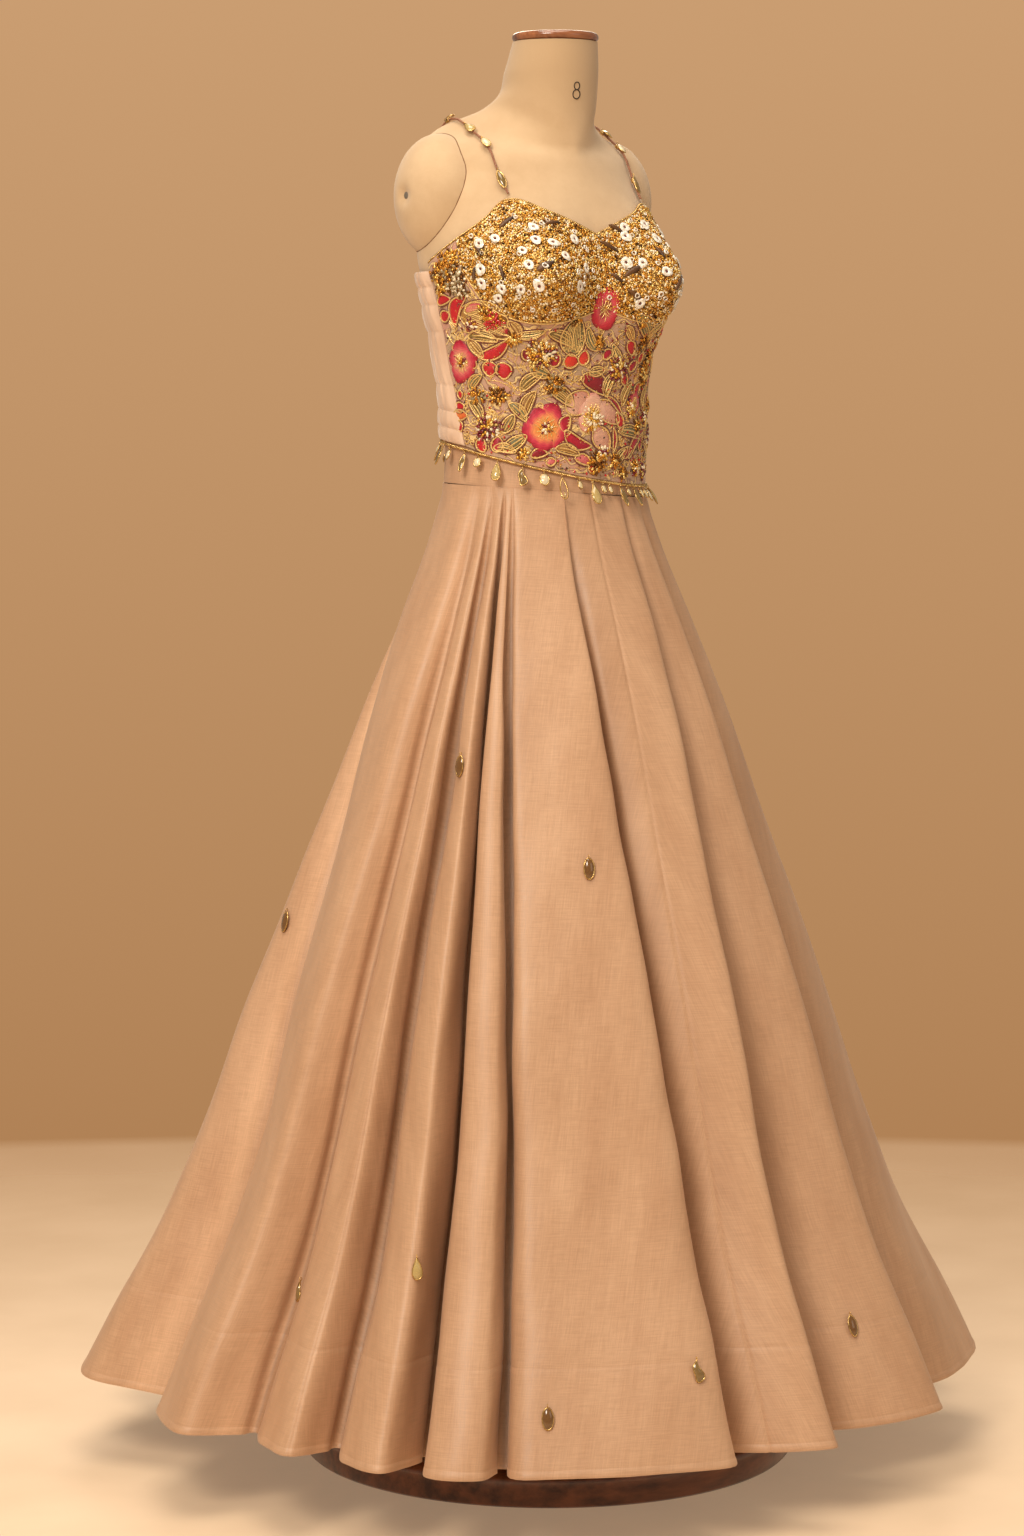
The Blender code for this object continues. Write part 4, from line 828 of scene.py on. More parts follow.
# ---------------------------------------------------------------- bodice back
# Sheer blush organza over a lining, gathered along crosswise rows so that it puffs between them.
BACK_TOP, PUFF_COUNT, PUFF_RAISE, PUFF_POWER, BACK_SEAM_GAP = 1.290, 7, 0.0026, 0.55, 0.25
PUFF_FADE, PUFF_LEFT, BACK_ROWS, BACK_COLUMNS = 0.06, 0.35, 148, 260
ORGANZA, ORGANZA_SHADE = (0.80, 0.565, 0.41, 1), (0.68, 0.45, 0.31, 1)


def organza_finish(name):
    """Crisp sheer silk: satin sheen, fine threads, and a painted shade that darkens it where its fold relief is low."""
    finish = new_finish(name, ORGANZA, 0.38, Sheen_Weight=0.5, Sheen_Roughness=0.3, Specular_IOR_Level=0.6)
    fold = cloud(finish, place(finish, "UV", (1.0, 0.35, 1.0)), 60.0, 4)
    threads = cloud(finish, place(finish, "UV", (1.0, 0.08, 1.0)), 800.0, 2)
    # Painted shade: ORGANZA_SHADE where the fold relief is low, ORGANZA where it is high.
    feed_shader(finish, Base_Color=tint(finish, fold, (0.3, ORGANZA_SHADE), (0.65, ORGANZA)),
                Normal=relief(finish, threads, 0.0002, 0.5, relief(finish, fold, 0.0016, 0.5)))
    return finish


across = np.linspace(0, 1, BACK_COLUMNS)[None, :]
turns = math.radians(SIDE_SEAM_TOP) + across * math.radians(360 - 2 * SIDE_SEAM_TOP)
share = np.linspace(0, 1, BACK_ROWS)[:, None]
height = hem_line(turns) + (BACK_TOP - hem_line(turns)) * share
start = side_seam(height) + math.radians(BACK_SEAM_GAP)
turn = start + across * (2 * math.pi - 2 * start)
wander = 0.16 * np.sin(7.0 * across + 2.0) + 0.10 * np.sin(19.0 * across)
puff = np.abs(np.sin(np.pi * PUFF_COUNT * (share + 0.10 * np.sin(2 * np.pi * share)) + wander * np.sin(np.pi * share))) ** PUFF_POWER
fade = np.clip(np.minimum(across, 1 - across) / PUFF_FADE + PUFF_LEFT, 0, 1)
width = np.linspace(0, 0.40, BACK_COLUMNS)[None, :]
gathers = ripple(width, 0.12 * share, 5, 16, 0.005, 0.022) * (0.35 + 0.65 * (1 - puff))
uneven = 0.85 + 0.15 * ripple(width, 0.12 * share, 8, 8, 0.03, 0.12)
raised = (PUFF_RAISE * puff * uneven + 0.0009 * gathers * np.clip(puff / 0.3, 0, 1) + 0.0012) * fade
outer = worn(turn, height, ease(height) + CLOTH_WALL + raised)
points, faces, pattern = cloth_wall(outer, worn(turn, height, ease(height)), cloth_pattern(outer))
back = make_piece("organza_back", points, faces, organza_finish("blush_organza"), pattern)
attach(back, "root")
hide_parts("bodice_back")

# ---------------------------------------------------------------- gold cords
# Twisted gold cord, two strands round each other: along the neckline and along the hem, where the drops hang from it.
# A plain gold cord in the seam under the cups is made with the couched threads.
BINDING_RADIUS, BINDING_GAP, BRAID_RADIUS, BRAID_AWAY, CORD_LAY = 0.0012, 0.0008, 0.0015, 0.0068, 0.0042
GOLD_WIRE, GOLD_TARNISH = (0.80, 0.55, 0.22, 1), (0.42, 0.24, 0.07, 1)


def gold_finish(name, bright, dull, shine=0.27):
    """Gilt metal, tarnished a little in patches."""
    finish = new_finish(name, bright, shine, Metallic=0.95)
    patch = cloud(finish, place(finish), 260.0, 3)
    feed_shader(finish, Base_Color=tint(finish, patch, (0.34, dull), (0.58, bright)),
                Normal=relief(finish, patch, 0.0003, 0.4))
    return finish


def gather(parts):
    """Several (points, faces) or (points, faces, tones) as one."""
    starts = np.cumsum([0] + [len(part[0]) for part in parts])
    points = np.concatenate([part[0] for part in parts])
    faces = [face for part, start in zip(parts, starts) for face in (np.asarray(part[1]) + start).tolist()]
    if len(parts[0]) == 2:
        return points, faces
    return points, faces, np.concatenate([part[2] for part in parts])


def twisted_cord(path, out, radius, closed=False, lay=CORD_LAY, strands=2):
    """Strands wound round a path: each is offset by half the cord's radius, and turns once in every lay's length."""
    way = np.concatenate([[0.0], np.cumsum(np.linalg.norm(np.diff(path, axis=0), axis=-1))])
    total = way[-1] + (np.linalg.norm(path[0] - path[-1]) if closed else 0.0)
    winds = round(total / lay)
    step = np.roll(path, -1, axis=0) - np.roll(path, 1, axis=0) if closed else np.gradient(path, axis=0)
    across = np.cross(step, out)
    across /= np.linalg.norm(across, axis=-1, keepdims=True)
    raised = np.cross(across, step)
    raised /= np.linalg.norm(raised, axis=-1, keepdims=True)
    parts = []
    for strand in range(strands):
        angle = (2 * np.pi * (winds * way / total + strand / strands))[:, None]
        wound = path + 0.48 * radius * (np.cos(angle) * across + np.sin(angle) * raised)
        thickness = np.full(len(path), 0.56 * radius)
        if not closed:
            thickness[[0, -1]] = 0.0
        parts.append(tube(wound, out, thickness, 6, closed))
    return gather(parts)


gold_wire = gold_finish("gilt_cord", GOLD_WIRE, GOLD_TARNISH)
turns = np.radians(np.linspace(-SIDE_SEAM_TOP, SIDE_SEAM_TOP, 1400))
path = worn(turns, neckline(turns) + BINDING_RADIUS + BINDING_GAP * 0.3, CUP_AWAY + CLOTH_WALL / 2)
points, faces = twisted_cord(path, worn_frame(turns, neckline(turns))[2], BINDING_RADIUS)
binding = make_piece("neckline_cord", points, faces, gold_wire, sharp=80)
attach(binding, "root")
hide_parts("neckline_binding")

turns = np.linspace(0, 2 * np.pi, 1900, endpoint=False)
path = worn(turns, hem_line(turns) - BRAID_RADIUS - SEAM_GAP, BRAID_AWAY)
points, faces = twisted_cord(path, worn_frame(turns, hem_line(turns))[2], BRAID_RADIUS, closed=True)
hem_cord = make_piece("hem_cord", points, faces, gold_wire, sharp=80)
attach(hem_cord, "root")
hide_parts("bodice_hem_braid")

# ---------------------------------------------------------------- silk embroidery
# Flowers, petals and leaves in long-and-short stitch with silk thread, a little padded, on the bodice's net.
# Each row: turn, height, length and width in millimetres, how it leans from level, how it bends, and its colours.
SILKS = {
    "red": (seen(206, 30, 40), seen(176, 18, 34)), "crimson": (seen(190, 22, 52), seen(150, 12, 40)),
    "dark red": (seen(158, 26, 40), seen(110, 14, 28)), "orange red": (seen(226, 70, 44), seen(196, 34, 34)),
    "orange": (seen(232, 140, 66), seen(206, 84, 40)), "pink": (seen(224, 130, 128), seen(196, 76, 90)),
    "pale pink": (seen(222, 176, 152), seen(204, 140, 122)), "sage": (seen(132, 126, 88), seen(88, 84, 54)),
    "straw": (seen(176, 130, 66), seen(122, 78, 34)), "bronze": (seen(110, 70, 28), seen(44, 22, 8)),
    "olive": (seen(136, 112, 60), seen(82, 64, 30)),
    "peach bloom": (seen(160, 40, 30), seen(236, 150, 60), seen(236, 150, 92), seen(210, 60, 84), seen(176, 12, 50),
                    seen(130, 6, 42)),
    "pink bloom": (seen(206, 160, 90), seen(216, 160, 120), seen(216, 120, 112), seen(200, 60, 80), seen(176, 16, 48),
                   seen(130, 8, 36)),
    "red bloom": (seen(214, 180, 96), seen(150, 40, 50), seen(212, 90, 96), seen(204, 44, 66), seen(182, 16, 44),
                  seen(136, 8, 34)),
    "pale bloom": (seen(206, 170, 104), seen(226, 176, 148), seen(228, 180, 158), seen(220, 140, 130)),
}
PETALS = (
    (-82.9, 1.2577, 19, 7.6, 12, 0.10, "red"), (-84.1, 1.2418, 14, 8.7, 27, 0.05, "red"),
    (-73.7, 1.2465, 34, 11.3, 57, 0.20, "red"), (-56.8, 1.2080, 34, 9.8, 29, -0.14, "red"),
    (-59.5, 1.1861, 14, 12.0, -90, 0.05, "red"), (-51.7, 1.1838, 16, 12.5, -81, 0.06, "red"),
    (-15.5, 1.1932, 15, 12.0, 8, 0.08, "orange red"), (-8.6, 1.1977, 14, 9.8, 80, 0.0, "orange red"),
    (20.6, 1.2092, 17, 9.1, -56, 0.06, "red"), (31.2, 1.1993, 12, 7.0, 69, 0.0, "red"),
    (-81.4, 1.1588, 8, 4.6, -88, 0.0, "red"), (-82.4, 1.1456, 11, 8.4, 14, 0.0, "red"),
    (-82.4, 1.1373, 17, 8.3, -4, 0.0, "orange"), (-83.7, 1.1252, 11, 8.4, -60, 0.0, "red"),
    (35.3, 1.1062, 44, 7.5, 40, 0.12, "crimson"), (-1.7, 1.0805, 10, 8.3, 12, 0.0, "orange red"),
    (-26.4, 1.0874, 9, 6.5, 8, 0.0, "pink"), (-0.9, 1.1682, 35, 16.3, -29, 0.10, "dark red"),
    (-11.0, 1.1120, 31, 10.4, -28, -0.16, "crimson"), (11.7, 1.1096, 23, 3.4, -90, 0.10, "crimson"),
    (12.6, 1.1462, 28, 3.4, -43, 0.08, "crimson"), (-11.2, 1.1505, 28, 19.6, 43, 0.0, "pale pink"),
    (8.1, 1.1398, 33, 17.4, -36, 0.0, "pale pink"), (3.7, 1.1113, 27, 17.4, -52, 0.0, "pale pink"),
    (-14.8, 1.2210, 40, 24.0, 92, 0.05, "sage"), (-46.5, 1.1073, 25, 9.8, 36, 0.0, "sage"),
    (17.8, 1.2253, 20, 6.1, -52, 0.0, "straw"), (-0.2, 1.1836, 18, 7.6, 10, 0.0, "sage"),
    (27.3, 1.1163, 40, 9.8, -10, 0.08, "sage"), (-31.8, 1.1825, 20, 9.8, -23, 0.0, "sage"),
    (26.8, 1.2293, 49, 13.0, -46, 0.06, "sage"), (-60.5, 1.2330, 58, 30.0, -24, 0.10, "straw"),
    (-66.0, 1.2500, 22, 9.0, 20, 0.0, "pink"), (-38.0, 1.1490, 26, 9.0, 64, 0.10, "straw"),
    (-66.5, 1.2080, 22, 8.0, -52, 0.0, "straw"), (-46.0, 1.2270, 24, 8.0, -60, 0.1, "straw"),
    (46.0, 1.2360, 26, 9.0, 60, 0.1, "sage"), (44.0, 1.1560, 28, 10.0, 70, 0.1, "straw"),
    (-20.5, 1.1560, 30, 11.0, -38, 0.1, "olive"), (-36.5, 1.1720, 26, 9.0, 38, 0.1, "olive"),
    (-44.5, 1.1400, 22, 8.0, -50, 0.1, "sage"), (-50.0, 1.1280, 20, 8.0, 60, 0.0, "olive"),
    (-22.0, 1.2180, 30, 10.0, -30, 0.1, "olive"), (-4.5, 1.2180, 26, 9.0, 120, 0.1, "sage"),
    (-38.0, 1.2250, 26, 8.0, 12, -0.1, "sage"), (8.5, 1.1700, 26, 9.0, 66, 0.1, "olive"),
    (-17.0, 1.0980, 24, 8.0, -16, 0.1, "straw"), (-52.5, 1.1000, 20, 7.0, -12, 0.1, "olive"),
    (-69.0, 1.1720, 20, 7.0, 46, 0.1, "sage"), (-70.0, 1.1420, 22, 8.0, -58, 0.1, "olive"),
    (12.0, 1.2030, 22, 8.0, 130, 0.1, "sage"), (22.0, 1.1600, 26, 8.0, 60, 0.1, "straw"),
    (19.0, 1.0920, 24, 8.0, 46, 0.1, "olive"), (-62.0, 1.2180, 30, 9.0, -8, 0.1, "olive"),
    (36.0, 1.2300, 26, 9.0, 46, 0.1, "olive"), (55.0, 1.1900, 28, 10.0, 60, 0.1, "sage"),
    (58.0, 1.1500, 26, 9.0, -50, 0.1, "olive"), (52.0, 1.1000, 26, 9.0, 30, 0.1, "straw"),
    (-66.0, 1.2300, 22, 8.0, 20, 0.1, "dark red"), (-50.0, 1.2250, 18, 7.0, -14, 0.1, "crimson"),
    (-24.0, 1.1950, 13, 8.0, 60, 0.0, "crimson"), (-39.0, 1.2010, 12, 7.0, 120, 0.0, "dark red"),
    (-57.0, 1.1060, 15, 9.0, 80, 0.0, "crimson"), (-66.5, 1.1060, 15, 8.0, 100, 0.1, "red"),
    (6.0, 1.2010, 13, 8.0, 30, 0.1, "crimson"), (19.0, 1.1760, 14, 8.0, 110, 0.0, "red"),
    (25.0, 1.1900, 14, 8.0, 40, 0.0, "crimson"), (-18.0, 1.1280, 16, 9.0, 70, 0.1, "crimson"),
    (16.0, 1.1290, 20, 8.0, -70, 0.1, "red"), (24.0, 1.0960, 16, 8.0, 30, 0.1, "crimson"),
    (-8.0, 1.0880, 18, 8.0, -24, 0.1, "pink"), (33.0, 1.1640, 16, 9.0, 60, 0.1, "red"),
    (44.0, 1.1880, 16, 9.0, -60, 0.1, "crimson"), (40.0, 1.1080, 18, 9.0, 70, 0.1, "red"),
    (50.0, 1.1560, 16, 9.0, 30, 0.1, "crimson"), (-33.0, 1.0950, 15, 7.0, 10, 0.1, "dark red"),
)
FLOWERS = (
    (-76.9, 1.1935, 19.0, 1.20, 5, 20, "pink bloom"), (-29.6, 1.1230, 23.0, 1.16, 5, 50, "peach bloom"),
    (1.5, 1.2490, 18.5, 1.25, 4, 35, "red bloom"), (-2.1, 1.1389, 19.0, 1.15, 5, 10, "pale bloom"),
)
BLOOM_LAYER = 0.0003
MIRROR_FROM, STITCH_RAISE, STITCH_SINK = 50.0, 0.0013, 0.0004


def on_form(turn, height, x, y):
    """Turn angles and heights that lie x along and y up the form's surface, in metres, from a spot on it."""
    turn, small = math.radians(turn), 1e-3
    along = np.linalg.norm(form_points(turn + small, height) - form_points(turn - small, height)) / (2 * small)
    rise = np.linalg.norm(form_points(turn, height + small) - form_points(turn, height - small)) / (2 * small)
    return turn + x / along, height + y / rise


def on_bodice(turns, heights, lift):
    return worn(turns, heights, ease(heights) + CLOTH_WALL + lift)


def leaned(x, y, degrees):
    lean = math.radians(degrees)
    return x * math.cos(lean) - y * math.sin(lean), x * math.sin(lean) + y * math.cos(lean)


def petal_edge(length, width, bend, along):
    """Half a petal's width at each share along it, width/2 sin(pi along^0.85)^0.58, and how far its axis bends."""
    return width / 2 * np.sin(np.pi * along**0.85) ** 0.58, bend * length * (1 - (2 * along - 1) ** 2)


def silk_petal(turn, height, length, width, lean, bend, silk, tall=1.0, lift=0.0):
    """A padded petal: half its width across from a bent axis, raised as (1 - across^2)^0.6 sin(pi along)^0.4, and
    shaded through its silks from foot to tip and toward its edges."""
    along, across = np.linspace(0, 1, 17)[:, None], np.linspace(-1, 1, 11)[None, :]
    half, axis = petal_edge(length, width, bend, along)
    ragged = 1 + 0.05 * np.sin(23 * along + turn) * np.sin(17 * along)
    x, y = np.broadcast_arrays((along - 0.5) * length, half * across * ragged + axis)
    x, y = leaned(x, y, lean)
    turns, heights = on_form(turn, height, x, tall * y)
    raised = STITCH_RAISE * (1 - across**2) ** 0.6 * np.sin(np.pi * along) ** 0.4 + lift
    points, faces, pattern = cloth_wall(on_bodice(turns, heights, raised), on_bodice(turns, heights, -STITCH_SINK),
                                        np.stack(leaned(x, y, -lean), axis=-1))
    silks = np.array(SILKS[silk])
    wave = 0.05 * np.sin(9 * across + height * 900) * along
    mix = np.clip(0.90 * along + 0.26 * across**2 * np.sqrt(along) + wave, 0, 1).ravel()
    tones = np.stack([np.interp(mix, np.linspace(0, 1, len(silks)), silks[:, channel]) for channel in range(4)], -1)
    return points, faces, np.concatenate([tones, tones]), pattern


def flower_petals(turn, height, radius, tall, count, start, silk):
    """Rows for a flower's petals, which stand round its centre a half radius out, in two overlapping layers."""
    rows = []
    for number in range(count):
        angle = start + 360 * number / count + 9 * math.sin(5 * number + turn)
        reach = radius * (0.53 + 0.05 * math.sin(3 * number + turn))
        x, y = leaned(reach, 0.0, angle)
        turns, heights = on_form(turn, height, x, tall * y)
        length, width = radius * (1.02 + 0.08 * math.cos(4 * number)), radius * (5.6 / count) * 1.02
        rows.append((math.degrees(turns), heights, length, width, angle, 0.04 * math.cos(number), silk, tall,
                     BLOOM_LAYER * (1 + number % 2)))
    return rows


def silk_finish(name):
    """Flossed silk: threads lie side by side across each petal, their colour taken from the piece."""
    finish = new_finish(name, SILKS["red"][0], 0.42, Sheen_Weight=0.4, Sheen_Roughness=0.3)
    thread = cloud(finish, place(finish, "UV", (1.0, 0.10, 1.0)), 1500.0, 2)
    shade = tint(finish, thread, (0.30, (0.62, 0.60, 0.58, 1)), (0.62, (1.15, 1.12, 1.08, 1)))
    tone = add_node(finish, "Attribute", attribute_name="tone").outputs["Color"]
    feed_shader(finish, Base_Color=blend_colours(finish, 0.85, tone, shade, "MULTIPLY"),
                Normal=relief(finish, thread, 0.0005, 0.7))
    return finish


def add_mirrored(rows):
    """The rows, and once more on the form's other side for those that the rows leave out there."""
    return rows + tuple((-row[0], row[1] - 0.010, *row[2:]) for row in rows if row[0] < -MIRROR_FROM)


petals = [(turn, height, 1.12 * length / 1000, 1.15 * width / 1000, lean if turn < MIRROR_FROM else 180 - lean,
           bend if turn < MIRROR_FROM else -bend, silk)
          for turn, height, length, width, lean, bend, silk in add_mirrored(PETALS)]
flowers = [(turn, height, radius / 1000, *rest) for turn, height, radius, *rest in add_mirrored(FLOWERS)]
flowers += [(30.0, 1.1500, 0.012, 1.1, 5, 0, "pink bloom"), (66.0, 1.1100, 0.018, 1.0, 5, 30, "peach bloom")]
blooms = [row for flower in flowers for row in flower_petals(*flower)]
sewn = [silk_petal(*row) for row in petals + blooms]
silk_points, silk_faces, silk_tones = gather([part[:3] for part in sewn])
embroidery = make_piece("silk_flowers", silk_points, silk_faces, silk_finish("flossed_silk"),
                        np.concatenate([part[3] for part in sewn]), silk_tones, sharp=70)
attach(embroidery, "root")

# ---------------------------------------------------------------- couched gold threads
# Fine gold cord couched round every petal and leaf, as veins in the leaves, as rays in the flowers, as curls and short
# lines that fill the net between them, and in the seam under the cups.
OUTLINE_RADIUS, VINE_RADIUS, FILL_RADIUS, FILL_COUNT, CURL_COUNT = 0.00100, 0.00090, 0.00050, 520, 150
FILL_TURNS, FILL_HEIGHTS = (-86.0, 86.0), (1.072, 1.300)


def in_front(turn, height, margin=0.002):
    """Whether spots, in degrees and metres, lie on the embroidered front: over the hem, under the cups or beside
    them, and forward of the side seams."""
    turns = np.radians(turn)
    top = np.where(np.abs(turn) > CUP_END, neckline(turns), cup_line(turns))
    return (height > hem_line(turns) + margin) & (height < top - margin) & (np.abs(turns) < side_seam(height) - 0.01)


def petal_outline(turn, height, length, width, lean, bend, silk, wider=0.0016, radius=OUTLINE_RADIUS):
    """Round the petal's edge, up one side and down the other."""
    along = (1 - np.cos(np.linspace(0, np.pi, 18))) / 2
    half, axis = petal_edge(length, width + wider, bend, along)
    x = np.concatenate([along, along[-2:0:-1]]) * length - length / 2
    y = np.concatenate([axis + half, (axis - half)[-2:0:-1]])
    turns, heights = on_form(turn, height, *leaned(x, y, lean))
    return tube(on_bodice(turns, heights, 0.0006), worn_frame(turns, heights)[2], radius, 5, True)


def couched(turns, heights, radius, sides=4):
    """A cord laid along spots on the bodice, tapered to nothing at its ends."""
    thickness = np.full(len(turns), radius)
    thickness[[0, -1]] = 0.0
    return tube(on_bodice(turns, heights, radius * 0.6), worn_frame(turns, heights)[2], thickness, sides)


def curl(turn, height, size, lean, hand, winds=1.4):
    """A curl: a spiral x = r cos a, y = hand r sin a with r shrinking as it winds, on a short straight stem."""
    angle = np.linspace(0, 2 * np.pi * winds, 26)
    reach = size * (1 - 0.82 * angle / angle[-1])
    x = np.concatenate([np.full(5, size), reach * np.cos(angle)])
    y = np.concatenate([np.linspace(-1.4 * size, -0.15 * size, 5), reach * np.sin(angle)]) * hand
    return on_form(turn, height, *leaned(x, y, lean))


draw = np.random.default_rng(11)
cords = [petal_outline(*row) for row in petals]
for row in petals:
    if row[6] in ("sage", "straw", "olive") and row[3] > 0.007:
        turn, height, length, width, lean, bend, _ = row
        for share in np.linspace(-0.66, 0.66, 2 * max(1, int(width / 0.006)) + 1):
            along = np.linspace(0.12, 0.90, 12)
            half, axis = petal_edge(length, width, bend, along)
            turns, heights = on_form(turn, height, *leaned((along - 0.5) * length, axis + half * share, lean))
            lift = STITCH_RAISE * (1 - share**2) ** 0.6 * np.sin(np.pi * along) ** 0.4
            thickness = np.full(12, FILL_RADIUS * (1.5 if abs(share) < 0.01 else 0.9))
            thickness[[0, -1]] = 0.0
            cords.append(tube(on_bodice(turns, heights, lift + 0.0002), worn_frame(turns, heights)[2], thickness, 4))
for turn, height, radius, tall, count, start, _ in flowers:
    for angle in np.linspace(0, 360, 3 * count, endpoint=False) + start:
        reach = radius * np.linspace(0.12, draw.uniform(0.42, 0.60), 7)
        x, y = leaned(reach, 0.06 * radius * np.sin(reach / radius * 9 + angle), angle)
        turns, heights = on_form(turn, height, x, tall * y)
        thickness = np.full(7, FILL_RADIUS)
        thickness[[0, -1]] = 0.0
        cords.append(tube(on_bodice(turns, heights, STITCH_RAISE + 2 * BLOOM_LAYER), worn_frame(turns, heights)[2],
                          thickness, 4))
starts = np.stack([draw.uniform(*FILL_TURNS, 4000), draw.uniform(*FILL_HEIGHTS, 4000)], axis=-1)
starts = starts[in_front(starts[:, 0], starts[:, 1], 0.006)]
for turn, height in starts[:CURL_COUNT]:
    turns, heights = curl(turn, height, draw.uniform(0.0028, 0.0065), draw.uniform(0, 360), draw.choice((-1, 1)))
    if in_front(np.degrees(turns), heights, 0.001).all():
        cords.append(couched(turns, heights, VINE_RADIUS * 0.8, 5))
for turn, height in starts[CURL_COUNT:CURL_COUNT + FILL_COUNT]:
    steps = np.linspace(-1, 1, 9)
    way = 90 * math.sin(turn / 17.0 + 5) + 80 * math.sin(height * 60) + draw.normal(0, 14)
    size = draw.uniform(0.005, 0.013)
    turns, heights = on_form(turn, height, *leaned(size * steps, 0.25 * size * steps**2, way))
    if in_front(np.degrees(turns), heights, 0.001).all():
        cords.append(couched(turns, heights, FILL_RADIUS))
edges = np.radians(np.linspace(-CUP_END, CUP_END, 500))
cords.append(tube(worn(edges, cup_line(edges), CUP_AWAY + CLOTH_WALL + 0.0004), worn_frame(edges, cup_line(edges))[2],
                  np.where((np.arange(500) % 499) == 0, 0.0, 0.0009), 6))
points, faces = gather(cords)
thread_finish = new_finish("gold_thread", seen(230, 186, 106), 0.34, Metallic=0.30, Sheen_Weight=0.2)
thread_turns = cloud(thread_finish, place(thread_finish), 1600.0, 2)
feed_shader(thread_finish, Base_Color=tint(thread_finish, thread_turns, (0.34, seen(150, 96, 36)), (0.54, seen(250, 214, 136))),
            Normal=relief(thread_finish, thread_turns, 0.0003, 0.6))
# Brown silk thread round each petal, just outside its gold outline: partly outline stitch, partly a painted shadow
# round the padded petal.
brown_finish = new_finish("brown_silk_thread", seen(104, 44, 28), 0.5, Sheen_Weight=0.2)
brown_twist = cloud(brown_finish, place(brown_finish), 1500.0, 2)
feed_shader(brown_finish, Base_Color=tint(brown_finish, brown_twist, (0.35, seen(64, 24, 16)), (0.60, seen(128, 54, 34))))
brown_outline_shadow = make_piece("brown_outline_and_shadow_threads", *gather([petal_outline(*row, 0.0052, 0.0008) for row in petals]),
                           brown_finish, sharp=80)
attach(brown_outline_shadow, "root")
gold_threads = make_piece("couched_gold_threads", points, faces, thread_finish, sharp=80)
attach(gold_threads, "root")

# ---------------------------------------------------------------- beads
# Seed beads, pearls and small ovals sewn one by one: crusts of them on the cups, clusters like berries between
# the flowers, and loose ones all over the net. Clusters: turn, height, radius in millimetres, and their mix.
BEAD_TONES = {
    "gold": seen(222, 164, 62), "pale gold": seen(246, 212, 132), "amber": seen(202, 134, 46),
    "bronze": seen(122, 76, 26), "deep": seen(62, 34, 12), "cream": seen(250, 234, 202),
    "white": seen(250, 248, 242), "garnet": seen(122, 16, 28), "ruby": seen(200, 26, 36), "grey": seen(158, 136, 98),
}
METAL_TONES = ("gold", "pale gold", "amber", "bronze", "deep")
MIXES = {
    "berries": ("gold", "pale gold", "cream", "garnet", "amber", "pale gold"),
    "gold": ("gold", "pale gold", "amber", "bronze"), "olive": ("gold", "bronze", "amber", "grey"),
    "wine": ("garnet", "gold", "cream", "garnet", "pale gold"), "grey": ("grey", "cream", "grey", "bronze"),
    "red": ("ruby", "ruby", "gold"), "cream": ("cream", "pale gold", "gold"),
}
CLUSTERS = (
    (-31.5, 1.2022, 17, "berries"), (-62.6, 1.1241, 14, "wine"), (0.0, 1.2145, 9, "gold"), (13.3, 1.1863, 14, "wine"),
    (-3.2, 1.1324, 13, "cream"), (-55.1, 1.1577, 10, "gold"), (-68.2, 1.1577, 9, "olive"), (-24.5, 1.1693, 11, "olive"),
    (13.5, 1.0880, 8, "gold"), (26.6, 1.1429, 9, "berries"), (39.6, 1.1816, 14, "gold"), (0.7, 1.0862, 12, "gold"),
    (-15.8, 1.2405, 9, "gold"), (23.6, 1.2423, 12, "gold"), (48.8, 1.2170, 10, "berries"), (-77.0, 1.2860, 13, "olive"),
    (-70.5, 1.2830, 11, "grey"), (-71.0, 1.2680, 9, "grey"), (-82.0, 1.2740, 8, "gold"), (-56.0, 1.2390, 12, "red"),
    (-68.0, 1.2330, 7, "wine"), (-29.6, 1.1230, 7, "wine"), (-76.9, 1.1935, 6, "berries"), (33.0, 1.0800, 8, "berries"),
    (44.0, 1.0760, 9, "wine"), (20.0, 1.0740, 7, "gold"), (34.0, 1.1250, 8, "gold"), (45.0, 1.1350, 9, "berries"),
    (42.0, 1.2000, 10, "gold"), (30.0, 1.2150, 9, "olive"), (-46.0, 1.2180, 8, "gold"), (-60.0, 1.2450, 9, "gold"),
    (5.0, 1.0960, 8, "wine"), (-42.0, 1.0950, 6, "gold"),
    (-72.0, 1.3050, 8, "gold"), (-76.5, 1.2990, 9, "olive"), (-81.0, 1.2900, 8, "gold"), (-85.0, 1.2840, 6, "olive"),
    (-72.5, 1.2950, 8, "olive"), (-84.5, 1.2680, 5, "gold"), (-76.0, 1.2720, 8, "grey"),
)
BEAD_RINGS, BEAD_SIDES = 5, 6
LOOSE_BEADS = 2800


